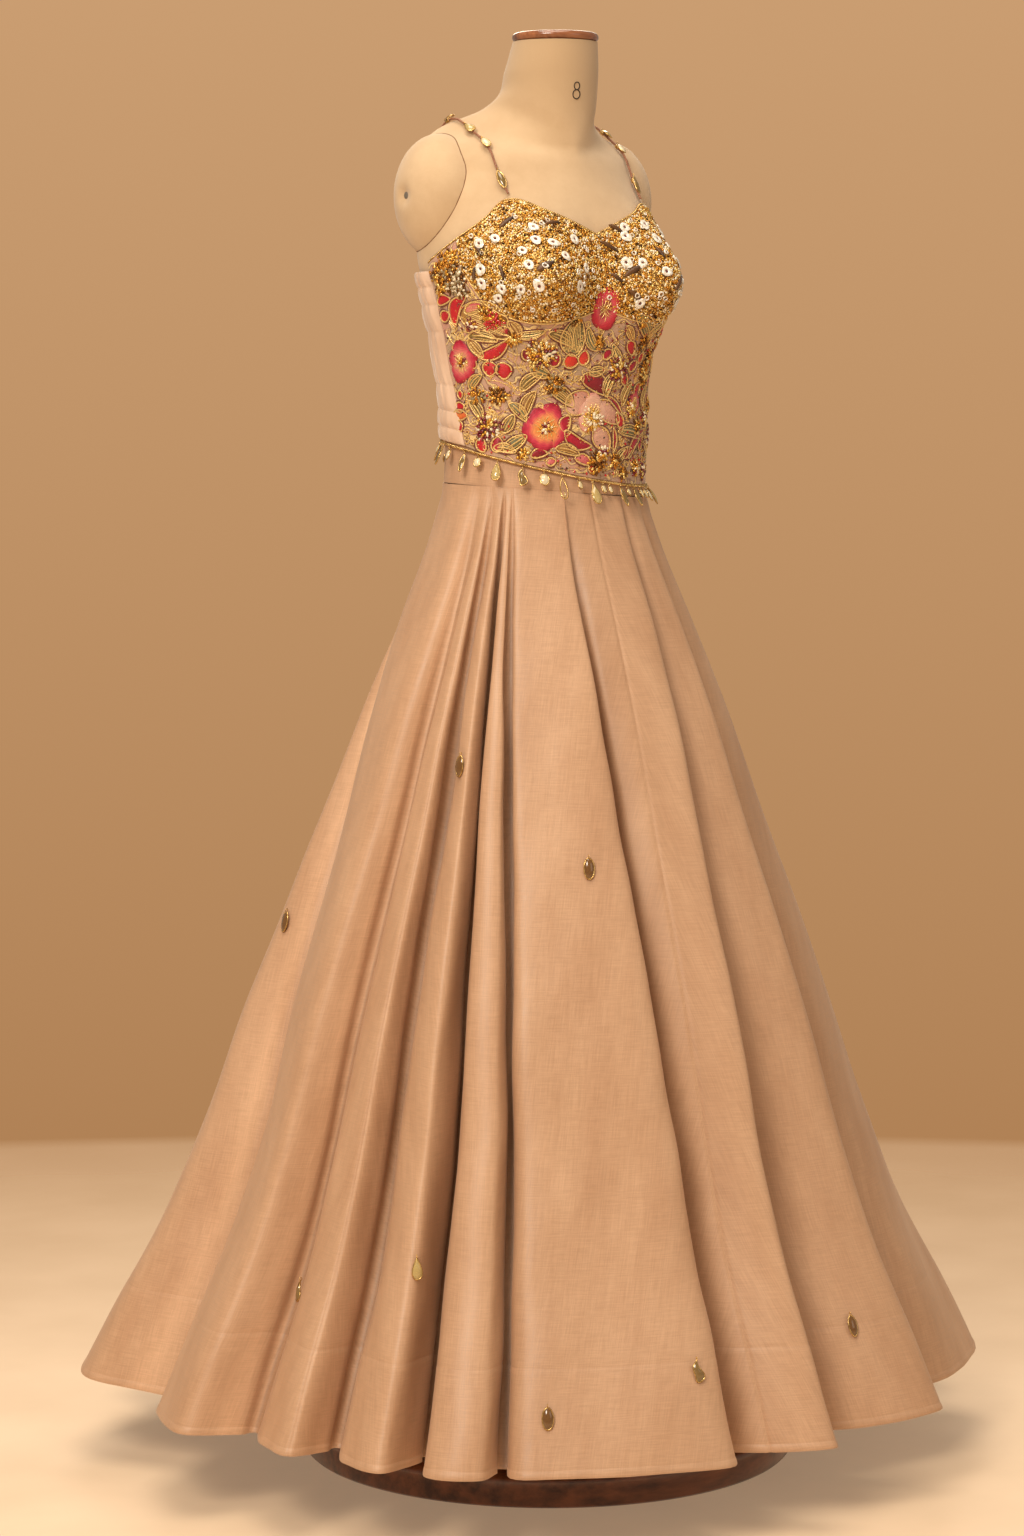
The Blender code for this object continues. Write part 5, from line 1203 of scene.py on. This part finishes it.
def beads(turns, heights, lift, radius, tones, stretch=1.0, lean=None):
    """Beads: middle + radius (sin p cos q, stretched, along; sin p sin q up; cos p out), six-sided, on the bodice.
    lean turns the long ones."""
    turns, heights, lift, radius = np.broadcast_arrays(turns, heights, lift, radius)
    along, up, out = worn_frame(turns, heights)
    lean = np.zeros(len(turns)) if lean is None else lean
    turned_along = along * np.cos(lean)[:, None] + up * np.sin(lean)[:, None]
    turned_up = up * np.cos(lean)[:, None] - along * np.sin(lean)[:, None]
    p = np.linspace(0, np.pi, BEAD_RINGS)[:, None]
    q = np.linspace(0, 2 * np.pi, BEAD_SIDES, endpoint=False)[None, :]
    ball = np.stack(np.broadcast_arrays(np.sin(p) * np.cos(q), np.sin(p) * np.sin(q), np.cos(p)), -1).reshape(-1, 3)
    size = radius[:, None] * np.stack(np.broadcast_arrays(stretch * np.ones(len(turns)), 1.0, 0.9), axis=-1)
    frames = np.stack([turned_along, turned_up, out], axis=1)
    points = on_bodice(turns, heights, lift)[:, None] + np.einsum("vi,ni,nij->nvj", ball, size, frames)
    faces = grid_faces(BEAD_RINGS, BEAD_SIDES, True)[None] + (np.arange(len(turns)) * len(ball))[:, None, None]
    return points.reshape(-1, 3), faces.reshape(-1, 4), np.repeat(np.asarray(tones), len(ball), axis=0)


def bead_finish(name, shine, metallic, **sockets):
    """Small beads, each in its own colour, taken from the piece."""
    finish = new_finish(name, BEAD_TONES["gold"], shine, Metallic=metallic, **sockets)
    tone = add_node(finish, "Attribute", attribute_name="tone").outputs["Color"]
    patch = cloud(finish, place(finish), 900.0, 2)
    shade = tint(finish, patch, (0.3, (0.72, 0.70, 0.66, 1)), (0.6, (1.0, 1.0, 1.0, 1)))
    feed_shader(finish, Base_Color=blend_colours(finish, 0.8, tone, shade, "MULTIPLY"),
                Normal=relief(finish, patch, 0.0002, 0.3))
    return finish


def mixed(names, weights, count, draw):
    picks = draw.choice(len(names), size=count, p=np.array(weights) / sum(weights))
    return picks, np.array([BEAD_TONES[name] for name in names])[picks]


metal_beads = bead_finish("gilt_beads", 0.26, 0.62)
glass_beads = bead_finish("glass_beads", 0.14, 0.0, Coat_Weight=0.6, Coat_Roughness=0.05)
draw = np.random.default_rng(23)
metal_sewn, glass_sewn = [], []
for turn, height, radius, mix in add_mirrored(CLUSTERS):
    radius = radius / 1000
    count = int((radius / 0.00185) ** 2 * 0.9) + 5
    share = np.sqrt((np.arange(count) + 0.5) / count)
    angle = np.arange(count) * math.radians(137.5) + draw.uniform(0, 6)
    reach = radius * share * (1 + 0.15 * np.cos(3 * angle)) + draw.normal(0, 0.0003, count)
    turns, heights = on_form(turn, height, reach * np.cos(angle), reach * np.sin(angle))
    size = draw.uniform(0.0011, 0.0019, count) * np.where(share < 0.4, 1.15, 1.0)
    lift = 0.0006 + 0.0022 * (1 - share**2)
    names = MIXES[mix]
    picks = draw.integers(len(names), size=count)
    tones = np.array([BEAD_TONES[name] for name in names])[picks]
    metal = np.array([name in METAL_TONES for name in names])[picks]
    inside = in_front(np.degrees(turns), heights, 0.001)
    for chosen, sewn_to in ((metal & inside, metal_sewn), (~metal & inside, glass_sewn)):
        if chosen.any():
            sewn_to.append(beads(turns[chosen], heights[chosen], lift[chosen], size[chosen], tones[chosen],
                                 draw.uniform(1.1, 2.3, chosen.sum()), angle[chosen]))
spots = np.stack([draw.uniform(*FILL_TURNS, 4 * LOOSE_BEADS), draw.uniform(*FILL_HEIGHTS, 4 * LOOSE_BEADS)], axis=-1)
crowd = 0.30 + 0.70 * np.clip((spots[:, 0] + 5) / 35, 0, 1) + 0.4 * (spots[:, 1] < hem_line(np.radians(spots[:, 0])) + 0.02)
spots = spots[in_front(spots[:, 0], spots[:, 1]) & (draw.random(len(spots)) < crowd)][:LOOSE_BEADS]
picks, tones = mixed(("gold", "pale gold", "amber", "bronze"), (5, 5, 1, 2), len(spots), draw)
metal_sewn.append(beads(np.radians(spots[:, 0]), spots[:, 1], 0.0005, draw.uniform(0.0006, 0.0010, len(spots)), tones))
spots = spots[::5] + draw.normal(0, (0.5, 0.0006), (len(spots[::5]), 2))
spots = spots[in_front(spots[:, 0], spots[:, 1])]
_, tones = mixed(("garnet", "ruby", "deep"), (5, 2, 3), len(spots), draw)
glass_sewn.append(beads(np.radians(spots[:, 0]), spots[:, 1], 0.0007, draw.uniform(0.0009, 0.0014, len(spots)), tones,
                        draw.uniform(1.0, 1.8, len(spots)), draw.uniform(0, 6, len(spots))))
front_gold = make_piece("front_gold_beads", *gather(metal_sewn)[:2], metal_beads, None, gather(metal_sewn)[2], sharp=80)
front_glass = make_piece("front_glass_beads", *gather(glass_sewn)[:2], glass_beads, None, gather(glass_sewn)[2], sharp=80)
for piece in (front_gold, front_glass):
    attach(piece, "root")

# ---------------------------------------------------------------- cup beads, quills and sequins
# The cups' crust: gold, bronze and clear beads edge to edge, with padded quills of dark thread, and ring sequins
# of white shell, round or drawn out to a point, sewn on through their holes.
QUILLS = (
    (-43.2, 1.3365, 24, 7, 36), (-50.7, 1.2855, 18, 5, -85), (-33.9, 1.2900, 20, 9, 26), (-23.4, 1.3351, 19, 6, 7),
    (4.5, 1.3135, 24, 7, -31), (10.2, 1.3318, 20, 7, -35), (13.6, 1.2884, 28, 8, 26), (15.1, 1.2609, 32, 7, -39),
    (6.4, 1.2815, 16, 6, -32), (25.9, 1.3065, 16, 6, -71), (-58.0, 1.3080, 14, 6, -60), (34.0, 1.2780, 24, 7, 40),
    (48.0, 1.3050, 22, 7, -50), (57.0, 1.2760, 20, 6, 70), (-62.0, 1.2850, 16, 6, 70),
)
RINGS = (
    (-49.7, 1.3197), (-56.9, 1.3154), (-34.2, 1.3168), (-40.7, 1.3060), (-27.6, 1.3135), (-39.8, 1.2919), (-58.6, 1.2897),
    (-59.6, 1.2756), (-51.6, 1.2694), (-44.3, 1.2691), (-37.4, 1.2720), (-53.3, 1.2604), (-24.0, 1.3005), (-33.0, 1.3298),
    (-15.3, 1.3186), (10.6, 1.2969), (13.0, 1.3240), (16.9, 1.2966), (16.6, 1.2571), (14.1, 1.3428), (26.3, 1.3367),
    (25.4, 1.2875), (28.7, 1.3204), (38.0, 1.2960), (46.0, 1.2750), (53.0, 1.3000), (40.0, 1.3300), (60.0, 1.2850),
    (36.0, 1.2600), (-12.0, 1.2900), (-18.0, 1.2720),
)
RING_OUTER, RING_HOLE, RING_RAISE = 0.0057, 0.0015, 0.0024
BEADS_ACROSS_CUP, CUP_BEAD_SIZE = 64, (0.00085, 0.00140)


def ring_sequin(turn, height, size, point, lean):
    """A domed ring round its hole, closed underneath: reach = size (1 + point cos(q)^6 ahead of it), lift from a
    profile of hole, crown, rim and underside."""
    around = np.linspace(0, 2 * np.pi, 18, endpoint=False)[None, :]
    share = np.array((0.0, 0.12, 0.60, 1.0, 0.96, 0.0, 0.0))[:, None]
    lift = np.array((0.0002, 0.0009, 0.0010, 0.0002, 0.0, 0.0, 0.0002))[:, None] + RING_RAISE
    reach = RING_HOLE + (size - RING_HOLE) * share
    reach = reach * (1 + point * np.clip(np.cos(around), 0, 1) ** 6 * share)
    turns, heights = on_form(turn, height, *leaned(reach * np.cos(around), reach * np.sin(around), lean))
    return on_bodice(turns, heights, lift).reshape(-1, 3), grid_faces(7, 18, True)


draw = np.random.default_rng(31)
quills = [silk_petal(turn, height, length / 1000, 0.7 * width / 1000, lean, 0.05, "bronze", lift=0.0018)
          for turn, height, length, width, lean in QUILLS]
quill_points, quill_faces, quill_tones = gather([part[:3] for part in quills])
quill_piece = make_piece("cup_quills", quill_points, quill_faces, silk_finish("bronze_floss"),
                         np.concatenate([part[3] for part in quills]), quill_tones, sharp=70)
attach(quill_piece, "root")
for side, word in ((-1, "right"), (1, "left")):
    grid_turns = np.linspace(0.45, CUP_END - 0.5, BEADS_ACROSS_CUP)
    step = (grid_turns[1] - grid_turns[0])
    low, high = cup_line(np.radians(grid_turns)) + 0.0015, neckline(np.radians(grid_turns)) - 0.0010
    counts = ((high - low) / 0.00175).astype(int)
    turn = np.repeat(grid_turns, counts)
    share = np.concatenate([(np.arange(count) + 0.5) / count for count in counts])
    height = np.repeat(low, counts) + np.repeat(high - low, counts) * share
    turn = side * np.clip(turn + draw.uniform(-0.45, 0.45, len(turn)) * step, 0.40, CUP_END - 0.4)
    height = height + draw.normal(0, 0.00045, len(turn))
    swirl = 0.5 * np.sin(turn / 1.9 + 3 * np.sin(height * 150)) + 0.5 * np.sin(height * 620 + 2 * np.sin(turn / 3.0))
    swirl = swirl + draw.normal(0, 1.3, len(turn))
    order = np.argsort(np.argsort(swirl)) / len(swirl)
    names = ("deep", "bronze", "amber", "gold", "pale gold", "cream")
    picks = np.searchsorted((0.03, 0.11, 0.27, 0.56, 0.82), order)
    tones = np.array([BEAD_TONES[name] for name in names])[picks]
    metal = picks < 5
    size = draw.uniform(*CUP_BEAD_SIZE, len(turn))
    lean = swirl * 1.2
    crusts = []
    for chosen, finish, kind in ((metal, metal_beads, "gold"), (~metal, glass_beads, "clear")):
        points, faces, colours = beads(np.radians(turn[chosen]), height[chosen], size[chosen] * 0.55, size[chosen],
                                       tones[chosen], draw.uniform(1.0, 1.5, chosen.sum()), lean[chosen])
        crust = make_piece(f"cup_{kind}_beads_{word}", points, faces, finish, None, colours, sharp=80)
        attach(crust, "root")
rings, eyes = [], []
for turn, height in RINGS:
    size = RING_OUTER * draw.uniform(0.80, 1.12)
    height = min(height, neckline(math.radians(turn)) - 0.0065)
    rings.append(ring_sequin(turn, height, size, draw.choice((0.0, 0.0, 0.35, 0.5)), draw.uniform(0, 360)))
small_turn, small_height = draw.uniform(-66, 66, 260), draw.uniform(1.25, 1.35, 260)
on_cup = (small_height < neckline(np.radians(small_turn)) - 0.003) & (small_height > cup_line(np.radians(small_turn)) + 0.003)
for turn, height in zip(small_turn[on_cup][:70], small_height[on_cup][:70]):
    rings.append(ring_sequin(turn, height, draw.uniform(0.0020, 0.0030), 0.3, draw.uniform(0, 360)))
shell_finish = new_finish("white_shell", seen(252, 248, 238), 0.22, Coat_Weight=0.5, Coat_Roughness=0.08)
shell_band = cloud(shell_finish, place(shell_finish), 420.0, 4)
feed_shader(shell_finish, Base_Color=tint(shell_finish, shell_band, (0.35, seen(206, 188, 158)), (0.62, seen(255, 252, 246))))
points, faces = gather(rings)
sequins = make_piece("ring_sequins", points, faces, shell_finish, sharp=60)
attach(sequins, "root")
holes = np.array(RINGS)
holes[:, 1] = np.minimum(holes[:, 1], neckline(np.radians(holes[:, 0])) - 0.0065)
eye_tones = np.repeat(np.array([BEAD_TONES["garnet"]]), len(holes), axis=0)
points, faces, colours = beads(np.radians(holes[:, 0]), holes[:, 1], RING_RAISE, 0.0011, eye_tones)
ring_eyes = make_piece("sequin_beads", points, faces, glass_beads, None, colours, sharp=80)
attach(ring_eyes, "root")

# ---------------------------------------------------------------- hem drops
# A row of small drops hangs by wire loops from the cord under the bodice's hem: gold-rimmed pears and hoops,
# dark leaves, pearls and crystals. Each: turn, length and width in millimetres, and kind.
HEM_DROPS = (
    (-113.0, 9, 7, "crystal"), (-104.0, 20, 5, "leaf"), (-93.0, 11, 6, "pearl"), (-79.0, 20, 6, "leaf"),
    (-68.8, 10, 8, "pearl"), (-56.6, 20, 10, "pear"), (-42.2, 19, 9, "curved"), (-30.2, 13, 10, "pearl"),
    (-20.4, 25, 9, "hoop"), (-10.5, 9, 5, "crystal"), (-2.4, 24, 12, "pear"), (4.0, 9, 5, "crystal"),
    (8.5, 8, 5, "pearl"), (16.9, 22, 7, "leaf"), (23.0, 8, 5, "crystal"), (29.4, 20, 7, "leaf"), (36.5, 9, 6, "crystal"),
    (42.0, 10, 7, "crystal"), (48.0, 14, 7, "pearl"), (60.0, 20, 9, "pear"), (72.0, 12, 7, "pearl"), (84.0, 20, 6, "leaf"),
    (98.0, 10, 7, "crystal"), (112.0, 20, 9, "curved"), (126.0, 12, 8, "pearl"), (140.0, 22, 9, "hoop"),
    (155.0, 10, 7, "crystal"), (170.0, 20, 10, "pear"), (184.0, 20, 6, "leaf"), (199.0, 12, 8, "pearl"),
    (214.0, 22, 9, "curved"), (230.0, 20, 6, "leaf"),
)
DROP_TILT, LOOP_RADIUS, LOOP_WIRE, RIM_WIRE, STONE_STEPS = 0.0090, 0.0017, 0.00045, 0.0008, 24
STONES = {
    "pear": seen(196, 170, 108), "curved": seen(132, 104, 58), "leaf": seen(124, 98, 50), "pearl": seen(232, 216, 180),
    "crystal": seen(220, 202, 158), "hoop": seen(204, 176, 116), "oval": seen(116, 78, 34),
}


def drop_outline(kind, length, width):
    """A drop's outline, across and down from its top: width/2 sin a sin(a/2)^1.2 for a pear, width/2 sin a |sin a|^0.4
    for a leaf, and an ellipse for the others; length/2 (1 - cos a) down."""
    angle = np.linspace(0, 2 * np.pi, STONE_STEPS, endpoint=False)
    power = {"pear": np.sin(angle / 2) ** 1.2 * 1.25, "hoop": np.sin(angle / 2) ** 0.8 * 1.15,
             "curved": np.sin(angle / 2) ** 1.2 * 1.25, "leaf": np.abs(np.sin(angle)) ** 0.4}
    across = width / 2 * np.sin(angle) * power.get(kind, 1.0)
    fall = length / 2 * (1 - np.cos(angle))
    if kind == "curved":
        across = across + 0.18 * width * np.sin(2 * np.pi * fall / length)
    return across, fall


def pendant(top, down, out, length, width, kind):
    """A drop in its place: a wire rim round its outline and a loop over it, as gold points and faces, and a
    domed stone, thickness s-profiled, as points, faces and tones."""
    down, out = down / np.linalg.norm(down), out - down * np.dot(down, out) / np.dot(down, down)
    out = out / np.linalg.norm(out)
    side = np.cross(down, out)
    across, fall = drop_outline(kind, length, width)
    fall = fall + 2 * LOOP_RADIUS
    outline = top + across[:, None] * side + fall[:, None] * down
    flat_out = np.broadcast_to(out, outline.shape)
    gold = [tube(outline, flat_out, RIM_WIRE, 5, True)]
    angle = np.linspace(0, 2 * np.pi, 12, endpoint=False)[:, None]
    loop = top + LOOP_RADIUS * (down * (1 - np.cos(angle)) + out * np.sin(angle) * 0.7)
    gold.append(tube(loop, np.broadcast_to(side, loop.shape), LOOP_WIRE, 5, True))
    centre = outline.mean(axis=0)
    share = np.array((0.0, 0.45, 0.8, 1.0, 0.8, 0.0))[:, None, None]
    lift = np.array((1.0, 0.86, 0.5, 0.0, -0.4, -0.5))[:, None, None] * min(0.0026, 0.28 * width)
    if kind == "hoop":
        share, lift, centre = share * 0.30, lift * 0.8, top + down * (2 * LOOP_RADIUS + 0.80 * length)
        outline = centre + (outline - outline.mean(axis=0)) * 0.9
    points = centre + share * (outline - centre) + lift * out
    return gather(gold), (points.reshape(-1, 3), grid_faces(6, STONE_STEPS, True),
                          np.tile(STONES[kind], (6 * STONE_STEPS, 1)))


def add_drops(name, drops, finish_stone, replaced=()):
    """The drops as two pieces: their gold rims and loops, and their stones."""
    made = [pendant(*drop) for drop in drops]
    points, faces = gather([gold for gold, _ in made])
    rims = make_piece(name + "_gold", points, faces, gold_wire, sharp=80)
    points, faces, colours = gather([stone for _, stone in made])
    stones = make_piece(name + "_stones", points, faces, finish_stone, None, colours, sharp=30)
    for piece in (rims, stones):
        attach(piece, "root")
    if replaced:
        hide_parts(*replaced)
    return rims, stones


stone_finish = bead_finish("polished_stones", 0.10, 0.0, Coat_Weight=0.8, Coat_Roughness=0.04)
drops = []
for turn, length, width, kind in HEM_DROPS:
    turn, length, width = math.radians(turn), length / 1000, width / 1000
    top_height = hem_line(turn) - 2 * BRAID_RADIUS
    top = worn(turn, top_height, BRAID_AWAY + 0.0008)
    tip = worn(turn, top_height - length, BRAID_AWAY + 0.0008 + DROP_TILT * length / 0.020)
    drops.append((top, tip - top, worn_frame(turn, top_height)[2], length, width, kind))
hem_drops = add_drops("hem_drops", drops, stone_finish)

# ---------------------------------------------------------------- skirt drops
# The same drops sewn on the skirt here and there by their loops, gold-rimmed ovals with a dark polished stone.
SKIRT_DROPS = (
    (-61.4, 0.771, "oval"), (-25.7, 0.668, "oval"), (-120.1, 0.585, "oval"), (-79.2, 0.231, "curved"),
    (-55.6, 0.278, "pear"), (-36.0, 0.145, "oval"), (-15.7, 0.181, "curved"), (18.3, 0.185, "oval"),
    (10.3, 0.147, "oval"), (66.0, 0.620, "oval"), (76.0, 0.300, "pear"), (101.0, 0.700, "oval"), (121.0, 0.180, "curved"),
    (150.0, 0.520, "pear"), (172.0, 0.240, "oval"), (-165.0, 0.660, "curved"), (-142.0, 0.160, "oval"),
)
SKIRT_DROP_LENGTH, SKIRT_DROP_WIDTH, SKIRT_DROP_OFF, DROP_FACING = 0.022, 0.0110, 0.0032, 0.7
bpy.context.view_layer.update()
drops = []
for turn, height, kind in SKIRT_DROPS:
    look = Vector((math.sin(math.radians(turn)), -math.cos(math.radians(turn)), 0.0))
    hits = [gore.ray_cast(look + Vector((0.0, 0.0, height)), -look) for gore in gore_pieces]
    _, spot, normal, _ = max((hit for hit in hits if hit[0]), key=lambda hit: hit[1].dot(look))
    normal = (normal + look * DROP_FACING).normalized()
    down = Vector((0.0, 0.0, -1.0))
    down = down - normal * down.dot(normal)
    top = spot + normal * SKIRT_DROP_OFF - down.normalized() * (SKIRT_DROP_LENGTH / 2 + 2 * LOOP_RADIUS)
    drops.append((np.array(top), np.array(down), np.array(normal), SKIRT_DROP_LENGTH, SKIRT_DROP_WIDTH, kind))
skirt_drops = add_drops("skirt_drops", drops, stone_finish,
                        tuple(f"skirt_drop_{number:02d}" for number in range(1, len(SKIRT_DROPS) + 1)))

# ---------------------------------------------------------------- straps
# A thin rose-brown silk cord each side, from the cup's peak over the shoulder to the back's top edge, with four
# small charms threaded on it in front: a gold leaf, a white shell, a gold-rimmed stone and a wire loop.
STRAP_RADIUS, STRAP_GAP, STRAP_LAY = 0.0015, 0.0020, 0.0060
STRAP_POINTS, STRAP_AT_X, STRAP_BOW = 22, 0.0861, 0.003
STRAP_HUB, STRAP_REACH, STRAP_SWING = (0.035, 1.300), 0.4, (-50.0, 89.0)
STRAP_CHARMS = ((2, 0.022, 0.0080, "leaf"), (5, 0.015, 0.0085, "pearl"), (7, 0.016, 0.0100, "pear"), (9, 0.014, 0.0085, "hoop"))
SILK_CORD, SILK_CORD_DARK = seen(176, 122, 92), seen(112, 66, 44)


def strap_route(side):
    """Looks in at the torso from a swinging arm round a hub, and stays a strap's thickness off what it meets."""
    lean = np.linspace(0, 1, STRAP_POINTS)
    route, outs = [], []
    for at_x, swing in zip(side * (STRAP_AT_X + STRAP_BOW * np.sin(np.pi * lean)),
                           np.radians(STRAP_SWING[0] + (STRAP_SWING[1] - STRAP_SWING[0]) * lean)):
        way = Vector((0.0, math.sin(swing), math.cos(swing)))
        _, spot, normal, _ = torso.ray_cast(Vector((at_x, *STRAP_HUB)) + way * STRAP_REACH, -way)
        route.append(spot + normal * (STRAP_RADIUS + STRAP_GAP))
        outs.append(normal)
    return np.array(route), np.array(outs)


cord_finish = new_finish("rose_silk_cord", SILK_CORD, 0.5, Sheen_Weight=0.4, Sheen_Roughness=0.3)
cord_thread = cloud(cord_finish, place(cord_finish), 1400.0, 2)
feed_shader(cord_finish, Base_Color=tint(cord_finish, cord_thread, (0.35, SILK_CORD_DARK), (0.60, SILK_CORD)),
            Normal=relief(cord_finish, cord_thread, 0.0003, 0.5))
fine = np.linspace(0, STRAP_POINTS - 1, 420)
for side, word in ((-1, "right"), (1, "left")):
    route, outs = strap_route(side)
    path, path_out = (np.stack([smooth(fine, np.arange(STRAP_POINTS), values[:, axis]) for axis in range(3)], axis=-1)
                      for values in (route, outs))
    points, faces = twisted_cord(path, path_out, STRAP_RADIUS, lay=STRAP_LAY)
    strap = make_piece(f"strap_cord_{word}", points, faces, cord_finish, sharp=80)
    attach(strap, "root")
    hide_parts(f"strap_{word}")
    drops, wraps = [], []
    for number, length, width, kind in STRAP_CHARMS:
        along = route[number + 1] - route[number - 1]
        out = outs[number] + np.array((0.0, -0.2, 0.3))
        top = route[number] + outs[number] * 0.0022 + along / np.linalg.norm(along) * length * 0.35
        drops.append((top, -along, out, length, width, kind))
        near = np.abs(fine - number) < 0.22
        wraps.append(tube(path[near], path_out[near], np.r_[0.0, np.full(near.sum() - 2, STRAP_RADIUS + 0.0007), 0.0], 8))
    add_drops(f"strap_charms_{word}", drops, stone_finish)
    points, faces = gather(wraps)
    wrap = make_piece(f"strap_wraps_{word}", points, faces, gold_wire, sharp=80)
    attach(wrap, "root")

# ---------------------------------------------------------------- size number
# The form's size, 8, stamped in thin grey ink on the front of the neck.
EIGHT_AT, EIGHT_HALVES, INK_RADIUS, INK_LIFT = (-2.9, 1.4933), ((-0.0042, 0.0044, 0.0048), (0.0047, 0.0034, 0.0041)), 0.00068, 0.0001
ink_finish = new_finish("grey_ink", seen(92, 74, 58), 0.8)
ink_worn = cloud(ink_finish, place(ink_finish), 1200.0, 3)
feed_shader(ink_finish, Base_Color=tint(ink_finish, ink_worn, (0.35, seen(36, 27, 20)), (0.70, seen(78, 60, 44))))
angle = np.linspace(0, 2 * np.pi, 32, endpoint=False)
loops = []
for middle, half_width, half_height in EIGHT_HALVES:
    turns, heights = on_form(*EIGHT_AT, half_width * np.sin(angle), middle + half_height * np.cos(angle))
    loops.append(tube(worn(turns, heights, INK_LIFT), worn_frame(turns, heights)[2], INK_RADIUS, 5, True))
points, faces = gather(loops)
eight = make_piece("size_number", points, faces, ink_finish, sharp=80)
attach(eight, "root")
